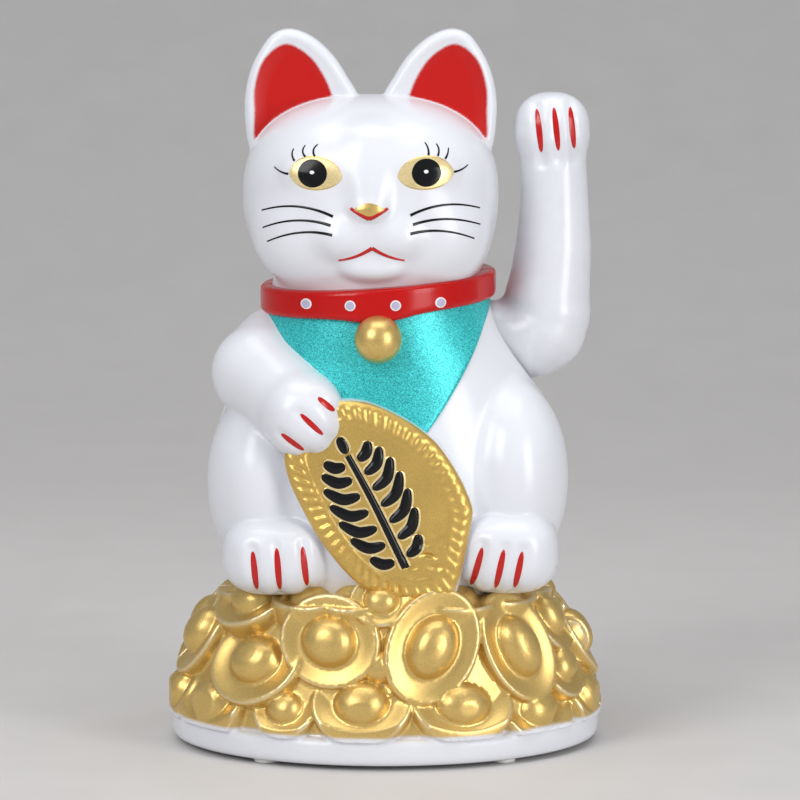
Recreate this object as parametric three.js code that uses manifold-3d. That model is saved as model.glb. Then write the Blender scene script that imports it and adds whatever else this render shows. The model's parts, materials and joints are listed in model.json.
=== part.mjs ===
// A waving lucky cat: two painted shells on an oval base, with a beckoning arm on a pendulum that
// a coil in the base keeps swinging. Millimetres, +Z up, the face looks along -Y, and the origin is
// on the table, under the middle of the base.
import * as THREE from "three";
import { mergeVertices } from "three/addons/utils/BufferGeometryUtils.js";
import Module from "manifold-3d";

const wasm = await Module();
wasm.setup();

// ---------------------------------------------------------------- driving dimensions
const BASE_HALF_WIDTH = 60;
const BASE_HALF_DEPTH = 49;
const FOOT_HEIGHT = 1.2;
const RIM_TOP = 8.5;
const SEAT_Z = 47.5; // top of the ingot pile, where the cat sits
const WALL = 2.2;
const ARM_WALL = 1.7;
const GAP = 0.3;
const PARTING_Y = -4; // the plane where the two shells meet
const SEAM = 0.1; // half the seam between them

const HEAD = { x: -3.9, y: -3, z: 153.5, halfWidth: 35.8, halfDepth: 33, halfHeight: 27.6 };
const PIVOT = { y: 3, z: 113 }; // the arm swings about a line along X here
const STUB_RADIUS = 10.4; // the arm's round shoulder
const LEVER_X = 17; // middle of the pendulum
const LEVER_THICKNESS = 6;
const HUB_RADIUS = 5.5;
const JOURNAL_RADIUS = 4.6;
const PIN_RADIUS = 1.5;
const PEG = 7; // square peg that carries the arm
const BOB_RADIUS = 8;
const WEIGHT_RADIUS = 6; // small enough to clear the wall at the seat when swung back
const BOB_BOTTOM = 24;

const COVER_THICKNESS = 2.2;
const COVER_TOP = FOOT_HEIGHT + COVER_THICKNESS;
const CELL_RADIUS = 7.1;
const CELL_LENGTH = 50.5;
const CELL_X = [-28, -13];
const CELL_Z = 10.6;
const BOX = { x0: -35.6, x1: -5.4, y: 27.8, top: 18.2, wall: 1.6 }; // inside of the battery box
const BOARD = { x: 38.5, y: 0, z: 8, width: 15, depth: 18, thickness: 1.6 };
const SWITCH = { x: 22, y: 31, slotLength: 6.4, slotWidth: 2.0 };

const QUARTER = Math.PI / 2;
const DEGREE = Math.PI / 180;
const ROUND = 20; // segments round a large oval
const HOLLOW_ROUND = 16; // and round the hollow inside it
const SMALL_ROUND = 12;

const group = new THREE.Group();

// ---------------------------------------------------------------- materials
function finish(color, roughness, metalness = 0) {
  return new THREE.MeshStandardMaterial({ color, roughness, metalness });
}
const FINISH = {
  whitePlastic: finish(0xf2f2f6, 0.18),
  greyPlastic: finish(0xc9ccd0, 0.45),
  blackPlastic: finish(0x1b1c1e, 0.4),
  clearRubber: finish(0xe4e4e0, 0.6),
  steel: finish(0xb9bcc0, 0.3, 1),
  magnet: finish(0x8c8f94, 0.25, 1),
  copper: finish(0xb5623a, 0.35, 1),
  board: finish(0x2f6b3a, 0.5),
  redWire: finish(0xb01818, 0.45),
  blackWire: finish(0x151515, 0.45),
  cellJacket: finish(0x2a3138, 0.35),
  spring: finish(0xd2d4d8, 0.25, 1),
};

// ---------------------------------------------------------------- solids and booleans
function solid(geometry) {
  const bare = geometry.clone();
  bare.deleteAttribute("normal");
  bare.deleteAttribute("uv");
  const merged = mergeVertices(bare, 1e-4);
  const corners = merged.index.array;
  const kept = [];
  for (let i = 0; i < corners.length; i += 3) {
    const [a, b, c] = corners.slice(i, i + 3);
    // Triangles that have shrunk to a line on the axis are left out.
    if (a !== b && b !== c && c !== a) {
      kept.push(a, b, c);
    }
  }
  return new wasm.Manifold(
    new wasm.Mesh({
      numProp: 3,
      vertProperties: merged.attributes.position.array,
      triVerts: new Uint32Array(kept),
    }),
  );
}

const join = (geometries) => geometries.map(solid).reduce((all, one) => all.add(one));

function geometryOf(manifold) {
  const mesh = manifold.getMesh();
  const geometry = new THREE.BufferGeometry();
  geometry.setAttribute("position", new THREE.BufferAttribute(mesh.vertProperties, 3));
  geometry.setIndex(new THREE.BufferAttribute(mesh.triVerts, 1));
  geometry.computeVertexNormals();
  return geometry;
}

function add(name, shape, material) {
  const geometry = shape.isBufferGeometry ? shape : geometryOf(shape);
  const mesh = new THREE.Mesh(geometry, material);
  mesh.name = name;
  group.add(mesh);
  return mesh;
}

// ---------------------------------------------------------------- shapes
const lerp = THREE.MathUtils.lerp;
const roundFor = (inset) => (inset ? HOLLOW_ROUND : ROUND);

function box(x0, x1, y0, y1, z0, z1) {
  const geometry = new THREE.BoxGeometry(x1 - x0, y1 - y0, z1 - z0);
  return geometry.translate((x0 + x1) / 2, (y0 + y1) / 2, (z0 + z1) / 2);
}

// A turned solid about Z: its profile is [radius, z] pairs from the bottom of the axis to the top.
function turned(profile, segments = SMALL_ROUND) {
  const points = profile.map(([r, z]) => new THREE.Vector2(r, z));
  return new THREE.LatheGeometry(points, segments).rotateX(QUARTER);
}

function disc(radius, z0, z1, segments = SMALL_ROUND) {
  return turned([[0, z0], [radius, z0], [radius, z1], [0, z1]], segments);
}

function rod(axis, radius, from, to, segments = SMALL_ROUND) {
  const along = disc(radius, from, to, segments);
  return axis === "x" ? along.rotateY(QUARTER) : along.rotateX(-QUARTER);
}

// A stack of ovals: each section is [z, half width, half depth, x centre, y centre].
function ovalLoft(sections, segments = ROUND) {
  const last = sections.length - 1;
  const rows = [0, ...sections.keys(), last].map((index, row) => ({
    section: sections[index],
    size: row === 0 || row === last + 2 ? 0 : 1,
  }));
  const unit = rows.map((row, index) => new THREE.Vector2(row.size, index));
  const geometry = new THREE.LatheGeometry(unit, segments).rotateX(QUARTER);
  const place = geometry.attributes.position;
  for (let i = 0; i < place.count; i++) {
    const [z, halfWidth, halfDepth, x = 0, y = 0] = rows[Math.round(place.getZ(i))].section;
    place.setXYZ(i, place.getX(i) * halfWidth + x, place.getY(i) * halfDepth + y, z);
  }
  return geometry;
}

// A ball squared off a little, as the sides of the cat's head are.
function squaredBall({ x, y, z, halfWidth, halfDepth, halfHeight }, inset, power) {
  const across = roundFor(inset);
  const geometry = new THREE.SphereGeometry(1, across, across / 2).rotateX(QUARTER);
  const place = geometry.attributes.position;
  const point = new THREE.Vector3();
  for (let i = 0; i < place.count; i++) {
    point.fromBufferAttribute(place, i);
    const sum = [point.x, point.y, point.z].reduce((s, c) => s + Math.abs(c) ** power, 0);
    point.divideScalar(sum ** (1 / power));
    place.setXYZ(i, point.x, point.y, point.z);
  }
  return geometry
    .scale(halfWidth - inset, halfDepth - inset, halfHeight - inset)
    .translate(x, y, z);
}

function ellipsoid(x, y, z, rx, ry, rz, inset = 0) {
  const across = inset ? 10 : SMALL_ROUND;
  const ball = new THREE.SphereGeometry(1, across, across / 2).rotateX(QUARTER);
  return ball.scale(rx - inset, ry - inset, rz - inset).translate(x, y, z);
}

// A limb from one ball to another, with a straight taper between them.
function limb(from, fromRadius, to, toRadius, segments = SMALL_ROUND) {
  const start = new THREE.Vector3(...from);
  const axis = new THREE.Vector3(...to).sub(start);
  const length = axis.length();
  const lean = Math.asin((fromRadius - toRadius) / length);
  const profile = [];
  const steps = 3;
  for (let i = 0; i <= steps; i++) {
    const angle = lerp(-QUARTER, lean, i / steps);
    profile.push([fromRadius * Math.cos(angle), fromRadius * Math.sin(angle)]);
  }
  for (let i = 0; i <= steps; i++) {
    const angle = lerp(lean, QUARTER, i / steps);
    profile.push([toRadius * Math.cos(angle), length + toRadius * Math.sin(angle)]);
  }
  profile[0][0] = 0;
  profile[profile.length - 1][0] = 0;
  const turn = new THREE.Quaternion().setFromUnitVectors(
    new THREE.Vector3(0, 0, 1),
    axis.normalize(),
  );
  const place = new THREE.Matrix4().compose(start, turn, new THREE.Vector3(1, 1, 1));
  return turned(profile, segments).applyMatrix4(place);
}

// ---------------------------------------------------------------- the cat's outside
const DEPTH_RATIO = BASE_HALF_DEPTH / BASE_HALF_WIDTH;

// Half widths of the oval base and the pile of ingots over it, from the bottom up.
const PILE = [
  [FOOT_HEIGHT, 58.8],
  [2.6, BASE_HALF_WIDTH],
  [7, BASE_HALF_WIDTH],
  [RIM_TOP, 58.4],
  [20, 56],
  [34, 51.5],
  [SEAT_Z, 38],
];

// Sections of the body: height, half width, half depth, and where the middle lies.
const TORSO = [
  [40, 40, 33.5, 0, 0],
  [51, 45, 36.8, 0, 0],
  [62, 49, 39, 0, 0.7],
  [76, 50.3, 39.2, 0.5, 1.5],
  [88, 48.5, 37.5, 0.2, 1.5],
  [98, 44.2, 35, 0, 0.8],
  [110, 36.8, 32, -0.8, -0.8],
  [119, 32.6, 29.8, -1.5, -2],
  [128, 30, 28, -2, -2.5],
];

function pile(inset) {
  const shrink = 1 - inset / BASE_HALF_WIDTH;
  const drop = 1 - inset / SEAT_Z;
  return ovalLoft(
    PILE.map(([z, half]) => [z * drop, half * shrink, half * shrink * DEPTH_RATIO]),
    roundFor(inset),
  );
}

function torso(inset) {
  return ovalLoft(
    TORSO.map(([z, w, d, x, y]) => [z, w - inset, d - inset, x, y]),
    roundFor(inset),
  );
}

function ear(side, inset) {
  const outline = new THREE.Shape();
  outline.moveTo(35, 160);
  outline.splineThru(
    [[35.4, 176], [32.6, 190], [24.5, 199.6], [15, 196.6], [8.5, 188], [3.6, 180]].map(
      ([x, z]) => new THREE.Vector2(x, z),
    ),
  );
  outline.lineTo(3.6, 165);
  const bevel = 2.5;
  const thickness = 10;
  const centre = { x: 21, z: 180 };
  const shrink = 1 - inset / 13;
  const flat = new THREE.ExtrudeGeometry(outline, {
    depth: thickness - 2 * bevel,
    bevelSize: bevel,
    bevelOffset: -bevel,
    bevelThickness: bevel,
    bevelSegments: inset ? 1 : 2,
    curveSegments: inset ? 1 : 2,
  });
  flat.translate(-centre.x, -centre.z, bevel - thickness / 2);
  flat.scale(shrink, shrink, 1 - (2 * inset) / thickness);
  flat.translate(centre.x, centre.z, 0);
  // The outline is drawn in X and Z, and its thickness lies along Y.
  flat.rotateX(QUARTER).translate(0, HEAD.y, 0);
  if (side < 0) {
    flat.rotateZ(Math.PI).translate(0, 2 * HEAD.y, 0);
  }
  return flat.translate(HEAD.x, 0, 0);
}

const THIGH = [34, -13, 75];
const FOOT = [29.5, -23, 54];
const SHOULDER = [-35, -8, 107];
const HELD_PAW = [-19.5, -35, 91];

// The rounded masses that are hollow inside, each drawn smaller by the wall for its hollow.
function hollowMasses(inset) {
  const [tx, ty, tz] = THIGH;
  const [fx, fy, fz] = FOOT;
  return [
    pile(inset),
    torso(inset),
    squaredBall(HEAD, inset, 2.4),
    ...[-1, 1].flatMap((side) => [
      ellipsoid(side * tx, ty, tz, 16, 24, 21, inset),
      ellipsoid(side * fx, fy, fz, 14.5, 18.5, 11, inset),
      ear(side, inset),
    ]),
    limb(SHOULDER, 13 - inset, HELD_PAW, 10.5 - inset, inset ? 10 : SMALL_ROUND),
    limb([20, 36, 57], 8 - inset, [30, 31, 86], 6 - inset, 10), // tail, laid against the back
  ];
}

// The collar is a flat band that dips to the front and to the cat's right.
function collar() {
  const ring = turned([[0, -4.2], [32.2, -4.2], [33.2, -1.5], [33.2, 1.5], [32.2, 4.2], [0, 4.2]], ROUND);
  return ring.scale(1, 1.02, 1).rotateY(-4.5 * DEGREE).rotateX(2.5 * DEGREE).translate(-1.8, -1, 126.5);
}

// The koban is an oval coin that stands on the pile and leans against the belly.
function koban() {
  const outline = new THREE.Shape().absellipse(0, 0, 22, 31, 0, 2 * Math.PI);
  const coin = new THREE.ExtrudeGeometry(outline, {
    depth: 9,
    bevelSize: 1.5,
    bevelThickness: 1.5,
    bevelOffset: -1.5,
    bevelSegments: 1,
    curveSegments: 10,
  });
  coin.translate(0, 0, -4).rotateX(QUARTER).rotateY(-24 * DEGREE).rotateX(-7 * DEGREE);
  return coin.translate(-1.5, -37, 75);
}

// An ingot is an oval dish with a round boss in the middle. It faces along +Z here.
const INGOT_PROFILE = [
  [0, -4.5],
  [12.6, 2],
  [7.2, 1.2],
  [5.4, 4.7],
  [0, 6.2],
];

// Each ingot: degrees round the base from the front, height, degrees of spin, size, and how far out.
const INGOTS = [
  [-17, 34, 12, 1.1, 0],
  [14, 31, 70, 1.15, 0],
  [41, 30, 100, 1.05, 0],
  [-48, 36, 30, 1.0, -1],
  [-38, 24, 15, 1.0, 0],
  [-71, 32, 80, 0.95, -1],
  [-52, 14, 20, 0.85, -3],
  [-25, 14, 0, 0.85, -1],
  [-4, 15, 0, 1.05, -3],
  [27, 15, 10, 1.0, -2],
  [68, 33, 80, 0.9, -1],
  [64, 17, 60, 0.9, -3],
  [112, 32, 80, 1.0, -1],
  [103, 15, 20, 1.0, -3],
  [-104, 16, 20, 1.0, -3],
  [-118, 32, 70, 1.0, -1],
  [140, 17, 20, 1.05, -2],
  [158, 33, 60, 1.05, -1],
  [-160, 32, 110, 1.05, -1],
  [-140, 15, 20, 1.05, -2],
  [178, 16, 0, 1.05, -3],
];

function pileHalfWidth(z) {
  const above = PILE.findIndex(([height]) => height >= z);
  const [z0, half0] = PILE[above - 1];
  const [z1, half1] = PILE[above];
  return lerp(half0, half1, (z - z0) / (z1 - z0));
}

function ingot([around, z, spin, size, out]) {
  const angle = around * DEGREE;
  const half = pileHalfWidth(z);
  const outward = new THREE.Vector3(
    Math.sin(angle) / half,
    -Math.cos(angle) / (half * DEPTH_RATIO),
    0,
  ).normalize();
  outward.z = z > 25 ? 0.45 : 0.2;
  outward.normalize();
  const across = new THREE.Vector3(0, 0, 1).cross(outward).normalize();
  const up = outward.clone().cross(across);
  const place = new THREE.Matrix4().makeBasis(across, up, outward);
  place.setPosition(
    Math.sin(angle) * half + outward.x * out,
    -Math.cos(angle) * half * DEPTH_RATIO + outward.y * out,
    z,
  );
  return turned(INGOT_PROFILE, 8)
    .scale(size, size * 0.8, size * 0.8)
    .rotateZ(spin * DEGREE)
    .applyMatrix4(place);
}

// ---------------------------------------------------------------- the two shells
const COVER_SCREWS = [[-49, -13.5], [49, -13.5], [-49, 13.5], [49, 13.5]];
const SHELL_SCREWS = [[-24, 104], [-24, 60], [HEAD.x, 152]];
const POST_BOTTOM = 5.9;
const POST_TOP = 17;

function coverPost([x, y]) {
  const inner = Math.min(x, Math.sign(x) * 54.5);
  const outer = Math.max(x, Math.sign(x) * 54.5);
  return join([
    disc(3.2, POST_BOTTOM, POST_TOP).translate(x, y, 0),
    box(inner, outer, y - 0.8, y + 0.8, POST_BOTTOM, POST_TOP),
  ]).subtract(solid(disc(1.45, 0, 15).translate(x, y, 0)));
}

// The flare clears the shoulder and the elbow as the arm swings.
function armOpening() {
  const flare = turned([[0, 26], [12.2, 26], [12.2, 38], [15.4, 46], [15.4, 70], [0, 70]], 32);
  return flare.rotateY(QUARTER).translate(0, PIVOT.y, PIVOT.z);
}

// Ingots that touch can seal a pocket between them, which is plastic all through.
function withoutPockets(shape) {
  return shape.decompose().reduce((kept, one) => (one.volume() > kept.volume() ? one : kept));
}

function shells() {
  const masses = join([
    ...hollowMasses(0),
    collar(),
    koban(),
    ellipsoid(-1.4, -35, 117.3, 6.7, 6.7, 6.7),
    ...INGOTS.map(ingot),
  ]);
  const outside = withoutPockets(masses);
  const inside = join([
    ...hollowMasses(WALL),
    ovalLoft([[110, 24, 20, -1, 0], [140, 24, 20, -3, -2]], HOLLOW_ROUND), // the neck is open
    ovalLoft([
      [-1, BASE_HALF_WIDTH - 2.4, BASE_HALF_DEPTH - 2.4],
      [6, BASE_HALF_WIDTH - 2.4, BASE_HALF_DEPTH - 2.4],
    ]), // and so is the bottom
  ]);
  const below = solid(box(-80, 80, -80, 80, -20, FOOT_HEIGHT));
  const shell = outside
    .subtract(inside)
    .subtract(below)
    .subtract(solid(armOpening()));

  const front = shell
    .intersect(solid(box(-80, 80, -80, PARTING_Y - SEAM, 0, 210)))
    .add(frontFittings());
  const rear = shell
    .intersect(solid(box(-80, 80, PARTING_Y + SEAM, 80, 0, 210)))
    .subtract(join(SHELL_SCREWS.map(([x, z]) => rod("y", 3.3, 2.2, 60).translate(x, 0, z))))
    .add(rearFittings(outside));
  return { front, rear };
}

// Bosses for the screws, and the ribs that close the bearing slots.
function frontFittings() {
  const bosses = SHELL_SCREWS.map(([x, z]) => {
    const wall = { 104: -26, 60: -35, 152: -34 }[z];
    return solid(rod("y", 3.6, wall, PARTING_Y - SEAM).translate(x, 0, z)).subtract(
      solid(rod("y", 1.45, -17, 0).translate(x, 0, z)),
    );
  });
  const ribs = [
    box(22.6, 24.4, -17, PIVOT.y - JOURNAL_RADIUS - GAP, PIVOT.z - 4, PIVOT.z + 4),
    box(9.6, 11.4, -29, PIVOT.y - PIN_RADIUS - GAP, PIVOT.z - 1.4, PIVOT.z + 1.4),
  ];
  const posts = COVER_SCREWS.filter(([, y]) => y < 0).map(coverPost);
  return [...bosses, ...ribs.map(solid), ...posts].reduce((all, one) => all.add(one));
}

function rearFittings(outside) {
  const tubes = SHELL_SCREWS.map(([x, z]) =>
    solid(rod("y", 3.9, PARTING_Y + SEAM, 50).translate(x, 0, z))
      .subtract(solid(rod("y", 1.45, -6, 60).translate(x, 0, z)))
      .subtract(solid(rod("y", 2.7, 2, 60).translate(x, 0, z)))
      .intersect(outside),
  );
  const bosses = BRACKET_SCREWS.map((z) =>
    solid(rod("y", 2.8, BRACKET.back + GAP, 31).translate(BRACKET_SCREW_X, 0, z))
      .subtract(solid(rod("y", 1.1, 10, 24).translate(BRACKET_SCREW_X, 0, z)))
      .intersect(outside),
  );
  const posts = COVER_SCREWS.filter(([, y]) => y > 0).map(coverPost);
  return [...tubes, ...bosses, ...posts].reduce((all, one) => all.add(one));
}

// ---------------------------------------------------------------- the arm and its pendulum
function armMasses(inset) {
  const { y, z } = PIVOT;
  const r = 10.6;
  return join([
    limb([45, y, z + 0.8], 12.2 - inset, [47.2, y, z + 22], r - inset, 14),
    ovalLoft(
      [
        [128, 10.6, 10.4, 47.3],
        [140, 10.2, 10, 47.3],
        [152, 9.5, 9.4, 47.1],
        [161, 8.9, 9, 46.9],
        [167, 9.5, 9.8, 46.9],
        [173, 10.4, 10.6, 47],
        [178, 9, 9.2, 47.2],
        [181.4, 4.5, 5, 47.4],
      ].map(([height, w, d, x]) => [
        inset ? Math.min(height, 179.5) : height,
        Math.max(w - inset, 1),
        Math.max(d - inset, 1),
        x,
        y,
      ]),
      14,
    ),
  ]);
}

const STUB_START = 27.4;

function armSolid() {
  const stub = rod("x", STUB_RADIUS, STUB_START, 45, 24).translate(0, PIVOT.y, PIVOT.z);
  const half = PEG / 2 + GAP;
  const socket = box(
    STUB_START - 1,
    38,
    PIVOT.y - half,
    PIVOT.y + half,
    PIVOT.z - half,
    PIVOT.z + half,
  );
  return armMasses(0)
    .subtract(armMasses(ARM_WALL).subtract(solid(box(0, 40, -40, 40, 80, 130))))
    .add(solid(stub).subtract(solid(box(40, 60, -40, 40, 80, 200))))
    .subtract(solid(socket));
}

function arm() {
  const whole = armSolid();
  const halves = [
    ["arm_front_half", box(0, 90, -60, PIVOT.y - SEAM, 60, 210)],
    ["arm_rear_half", box(0, 90, PIVOT.y + SEAM, 60, 60, 210)],
  ];
  for (const [name, side] of halves) {
    add(name, whole.intersect(solid(side)), FINISH.whitePlastic);
  }
}

const BRACKET = {
  back: 13.4,
  plate: 2.2,
  tab: 1,
  inner: 9.5,
  outer: 24.5,
  ear: 2.4,
  top: PIVOT.z + 6.8,
  shoulder: PIVOT.z + 2.8,
  bottom: PIVOT.z - 9,
};
const BRACKET_SCREWS = [PIVOT.z - 6.2, PIVOT.z - 0.2];
const BRACKET_SCREW_X = 5;

// A bearing ear stands along X, with a slot that is open to the front for its shaft.
function bearingEar(slotRadius) {
  const { back, top, shoulder, bottom } = BRACKET;
  const outline = new THREE.Shape();
  outline.moveTo(-0.5, bottom);
  outline.lineTo(back, bottom);
  outline.lineTo(back, shoulder);
  outline.lineTo(back - (top - shoulder), top);
  outline.lineTo(-0.5, top);
  outline.lineTo(-0.5, PIVOT.z + slotRadius);
  outline.lineTo(PIVOT.y, PIVOT.z + slotRadius);
  outline.absarc(PIVOT.y, PIVOT.z, slotRadius, QUARTER, -QUARTER, true);
  outline.lineTo(-0.5, PIVOT.z - slotRadius);
  return outline;
}

// A flat plate whose outline is drawn in Y and Z, from one X to another.
function sidePlate(outline, x0, x1, segments = 8) {
  const plate = new THREE.ExtrudeGeometry(outline, {
    depth: x1 - x0,
    bevelEnabled: false,
    curveSegments: segments,
  });
  return plate.rotateZ(QUARTER).rotateY(QUARTER).translate(x0, 0, 0);
}

function bracket() {
  const { back, plate, tab, inner, outer, ear: thick, shoulder, bottom } = BRACKET;
  const holes = BRACKET_SCREWS.map((z) => rod("y", 1.45, 5, 30).translate(BRACKET_SCREW_X, 0, z));
  const frame = join([
    sidePlate(bearingEar(PIN_RADIUS + GAP), inner, inner + thick),
    sidePlate(bearingEar(JOURNAL_RADIUS + GAP), outer - thick, outer),
    box(tab, outer, back - plate, back, bottom, shoulder),
  ]).subtract(join(holes));
  add("pivot_bracket", frame, FINISH.greyPlastic);
  BRACKET_SCREWS.forEach((z, i) => {
    // The thread runs into the boss behind, and the head bears on the bracket.
    const screw = turned([[0, 0], [2.2, 0.3], [2.2, 1.4], [0.8, 1.6], [0.8, 7], [0, 7.6]], 10);
    screw.rotateX(-QUARTER).translate(BRACKET_SCREW_X, back - plate - 1.7, z);
    add(`bracket_screw_${i + 1}`, screw, FINISH.steel);
  });
}

function pendulum() {
  const { y, z } = PIVOT;
  const half = LEVER_THICKNESS / 2;
  const leverHalf = 3.5;
  const shape = join([
    rod("x", HUB_RADIUS, LEVER_X - 4, LEVER_X + 4).translate(0, y, z),
    rod("x", JOURNAL_RADIUS, LEVER_X, STUB_START - GAP, 24).translate(0, y, z),
    box(STUB_START - 1, 37.5, y - PEG / 2, y + PEG / 2, z - PEG / 2, z + PEG / 2),
    box(LEVER_X - half, LEVER_X + half, y - leverHalf, y + leverHalf, BOB_BOTTOM + 8, z),
    disc(BOB_RADIUS, BOB_BOTTOM, BOB_BOTTOM + 10, 20).translate(LEVER_X, y, 0),
  ])
    .subtract(solid(rod("x", PIN_RADIUS + GAP, 0, LEVER_X + 3).translate(0, y, z)))
    .subtract(solid(disc(6.3, 0, BOB_BOTTOM + 5, 20).translate(LEVER_X, y, 0)));
  add("pendulum_lever", shape, FINISH.greyPlastic);

  const pin = rod("x", PIN_RADIUS, 7.5, LEVER_X + 2.7).translate(0, y, z);
  add("pivot_pin", pin, FINISH.steel);

  const magnet = disc(6, BOB_BOTTOM + 0.2, BOB_BOTTOM + 4.6, 20).translate(LEVER_X, y, 0);
  add("drive_magnet", magnet, FINISH.magnet);

  const weight = solid(disc(WEIGHT_RADIUS, BOB_BOTTOM + 10.3, BOB_BOTTOM + 20, 20)).subtract(
    solid(box(-half - GAP, half + GAP, -leverHalf - GAP, leverHalf + GAP, 0, 60)),
  );
  add("counterweight", weight.translate([LEVER_X, y, 0]), FINISH.steel);
}

// ---------------------------------------------------------------- the base and what it carries
function baseCover() {
  const { x0, x1, y, top, wall } = BOX;
  const plate = ovalLoft([
    [FOOT_HEIGHT, BASE_HALF_WIDTH - 2.8, BASE_HALF_DEPTH - 2.8],
    [COVER_TOP, BASE_HALF_WIDTH - 2.8, BASE_HALF_DEPTH - 2.8],
  ]);
  const raised = [
    plate,
    box(x0 - wall, x1 + wall, -y - wall, y + wall, COVER_TOP - 1, top + wall),
    disc(2.2, COVER_TOP - 1, 12).translate(LEVER_X, PIVOT.y, 0),
    ...COVER_SCREWS.map(([x, sy]) => disc(4.2, COVER_TOP - 1, 5.6).translate(x, sy, 0)),
    ...BOARD_SCREWS.map(([x, sy]) => disc(2.2, COVER_TOP - 1, BOARD.z - GAP).translate(x, sy, 0)),
  ];
  const cut = [
    box(x0, x1, -y, y, 0, top),
    ...CELL_X.map((x) => box(x - 3, x + 3, y - 1.2, y, top - 1, top + 3)),
    ...COVER_SCREWS.flatMap(([x, sy]) => [
      disc(3.1, 0, 3.6).translate(x, sy, 0),
      disc(1.6, 0, 8).translate(x, sy, 0),
    ]),
    ...BOARD_SCREWS.map(([x, sy]) => disc(1.2, 2.6, 10).translate(x, sy, 0)),
    box(
      SWITCH.x - SWITCH.slotLength / 2,
      SWITCH.x + SWITCH.slotLength / 2,
      SWITCH.y - SWITCH.slotWidth / 2,
      SWITCH.y + SWITCH.slotWidth / 2,
      0,
      5,
    ),
  ];
  add("base_cover", join(raised).subtract(join(cut)), FINISH.whitePlastic);

  COVER_SCREWS.forEach(([x, sy], i) => {
    const screw = turned([[0, 2], [2.3, 1.9], [2.7, 2.4], [2.7, 3.4], [1.15, 3.5], [1.15, 13], [0, 14]], 10);
    add(`cover_screw_${i + 1}`, screw.translate(x, sy, 0), FINISH.steel);
  });

  const corners = {
    front_left: [-32.5, -35],
    front_right: [32.5, -35],
    rear_left: [-32.5, 35],
    rear_right: [32.5, 35],
  };
  for (const [name, [x, fy]] of Object.entries(corners)) {
    const pad = turned([[0, 0], [2.9, 0], [3.4, 0.5], [3.4, FOOT_HEIGHT], [0, FOOT_HEIGHT]], 16);
    add(`foot_${name}`, pad.translate(x, fy, 0), FINISH.clearRubber);
  }
}

function batteryDoor() {
  const { x0, x1, y } = BOX;
  const middle = (x0 + x1) / 2;
  const door = join([
    box(x0 + GAP, x1 - GAP, -y + GAP, y - 0.6, FOOT_HEIGHT, FOOT_HEIGHT + 1.8),
    box(middle - 2.5, middle + 2.5, -y + GAP, -y + 1.5, FOOT_HEIGHT + 1, 6.5), // snap tongue
  ]).subtract(solid(box(middle - 6, middle + 6, 3 - y, 6 - y, 0, FOOT_HEIGHT + 0.7))); // finger groove
  add("battery_door", door, FINISH.whitePlastic);
}

function cells() {
  const r = CELL_RADIUS;
  const profile = [
    [0, 0],
    [r - 0.5, 0],
    [r, 0.5],
    [r, CELL_LENGTH - 1.8],
    [r - 0.5, CELL_LENGTH - 1.2],
    [2.7, CELL_LENGTH - 1.2],
    [2.7, CELL_LENGTH],
    [0, CELL_LENGTH],
  ];
  const nubY = BOX.y - 1;
  CELL_X.forEach((x, i) => {
    const direction = i === 0 ? 1 : -1;
    const cell = turned(profile, 16).rotateX(-QUARTER * direction);
    cell.translate(x, direction * (nubY - CELL_LENGTH), CELL_Z);
    add(`battery_cell_${i + 1}`, cell, FINISH.cellJacket);

    // The negative end bears on a cone of wire.
    const near = -direction * (CELL_LENGTH - nubY + GAP);
    const far = -direction * (BOX.y - 1);
    add(`contact_spring_${i + 1}`, coneSpring(x, near, far), FINISH.spring);
  });
}

class ConeHelix extends THREE.Curve {
  constructor(x, fromY, toY) {
    super();
    Object.assign(this, { x, fromY, toY });
  }

  getPoint(t, target = new THREE.Vector3()) {
    const turns = 2.5;
    const radius = lerp(2.6, 4.8, t);
    const angle = 2 * Math.PI * turns * t;
    const inset = 0.45; // half the wire
    const away = Math.sign(this.toY - this.fromY) * inset;
    return target.set(
      this.x + radius * Math.cos(angle),
      lerp(this.fromY + away, this.toY - away, t),
      CELL_Z + radius * Math.sin(angle),
    );
  }
}

function tube(curve, radius, steps, sides) {
  const section = new THREE.Shape().absarc(0, 0, radius, 0, 2 * Math.PI);
  return new THREE.ExtrudeGeometry(section, {
    extrudePath: curve,
    steps,
    curveSegments: sides / 2,
    bevelEnabled: false,
  });
}

const coneSpring = (x, fromY, toY) => tube(new ConeHelix(x, fromY, toY), 0.4, 26, 6);

function contacts() {
  const { y } = BOX;
  const plates = {
    contact_bridge: [CELL_X[0] - 5.5, CELL_X[1] + 5.5, -y + 0.2, -y + 0.7, 15.5],
    terminal_positive: [CELL_X[0] - 2.5, CELL_X[0] + 2.5, y - 0.7, y - 0.3, 21.5],
    terminal_negative: [CELL_X[1] - 2.5, CELL_X[1] + 2.5, y - 0.7, y - 0.3, 21.5],
  };
  for (const [name, [x0, x1, y0, y1, top]] of Object.entries(plates)) {
    add(name, box(x0, x1, y0, y1, 6.8, top), FINISH.spring);
  }
}

function coil() {
  const at = [LEVER_X, PIVOT.y, 0];
  const bobbin = [
    [2.5, 4],
    [10, 4],
    [10, 5.2],
    [4, 5.2],
    [4, 19.4],
    [10, 19.4],
    [10, 20.6],
    [2.5, 20.6],
    [2.5, 4],
  ];
  add("coil_bobbin", turned(bobbin, 16).translate(...at), FINISH.blackPlastic);
  const winding = [[4.3, 5.5], [8.8, 5.5], [9.2, 12.3], [8.8, 19.1], [4.3, 19.1], [4.3, 5.5]];
  add("coil_winding", turned(winding, 16).translate(...at), FINISH.copper);
}

const BOARD_SCREWS = [
  [BOARD.x - 4.8, BOARD.y - 6.4],
  [BOARD.x + 4.8, BOARD.y + 6.4],
];

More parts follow.
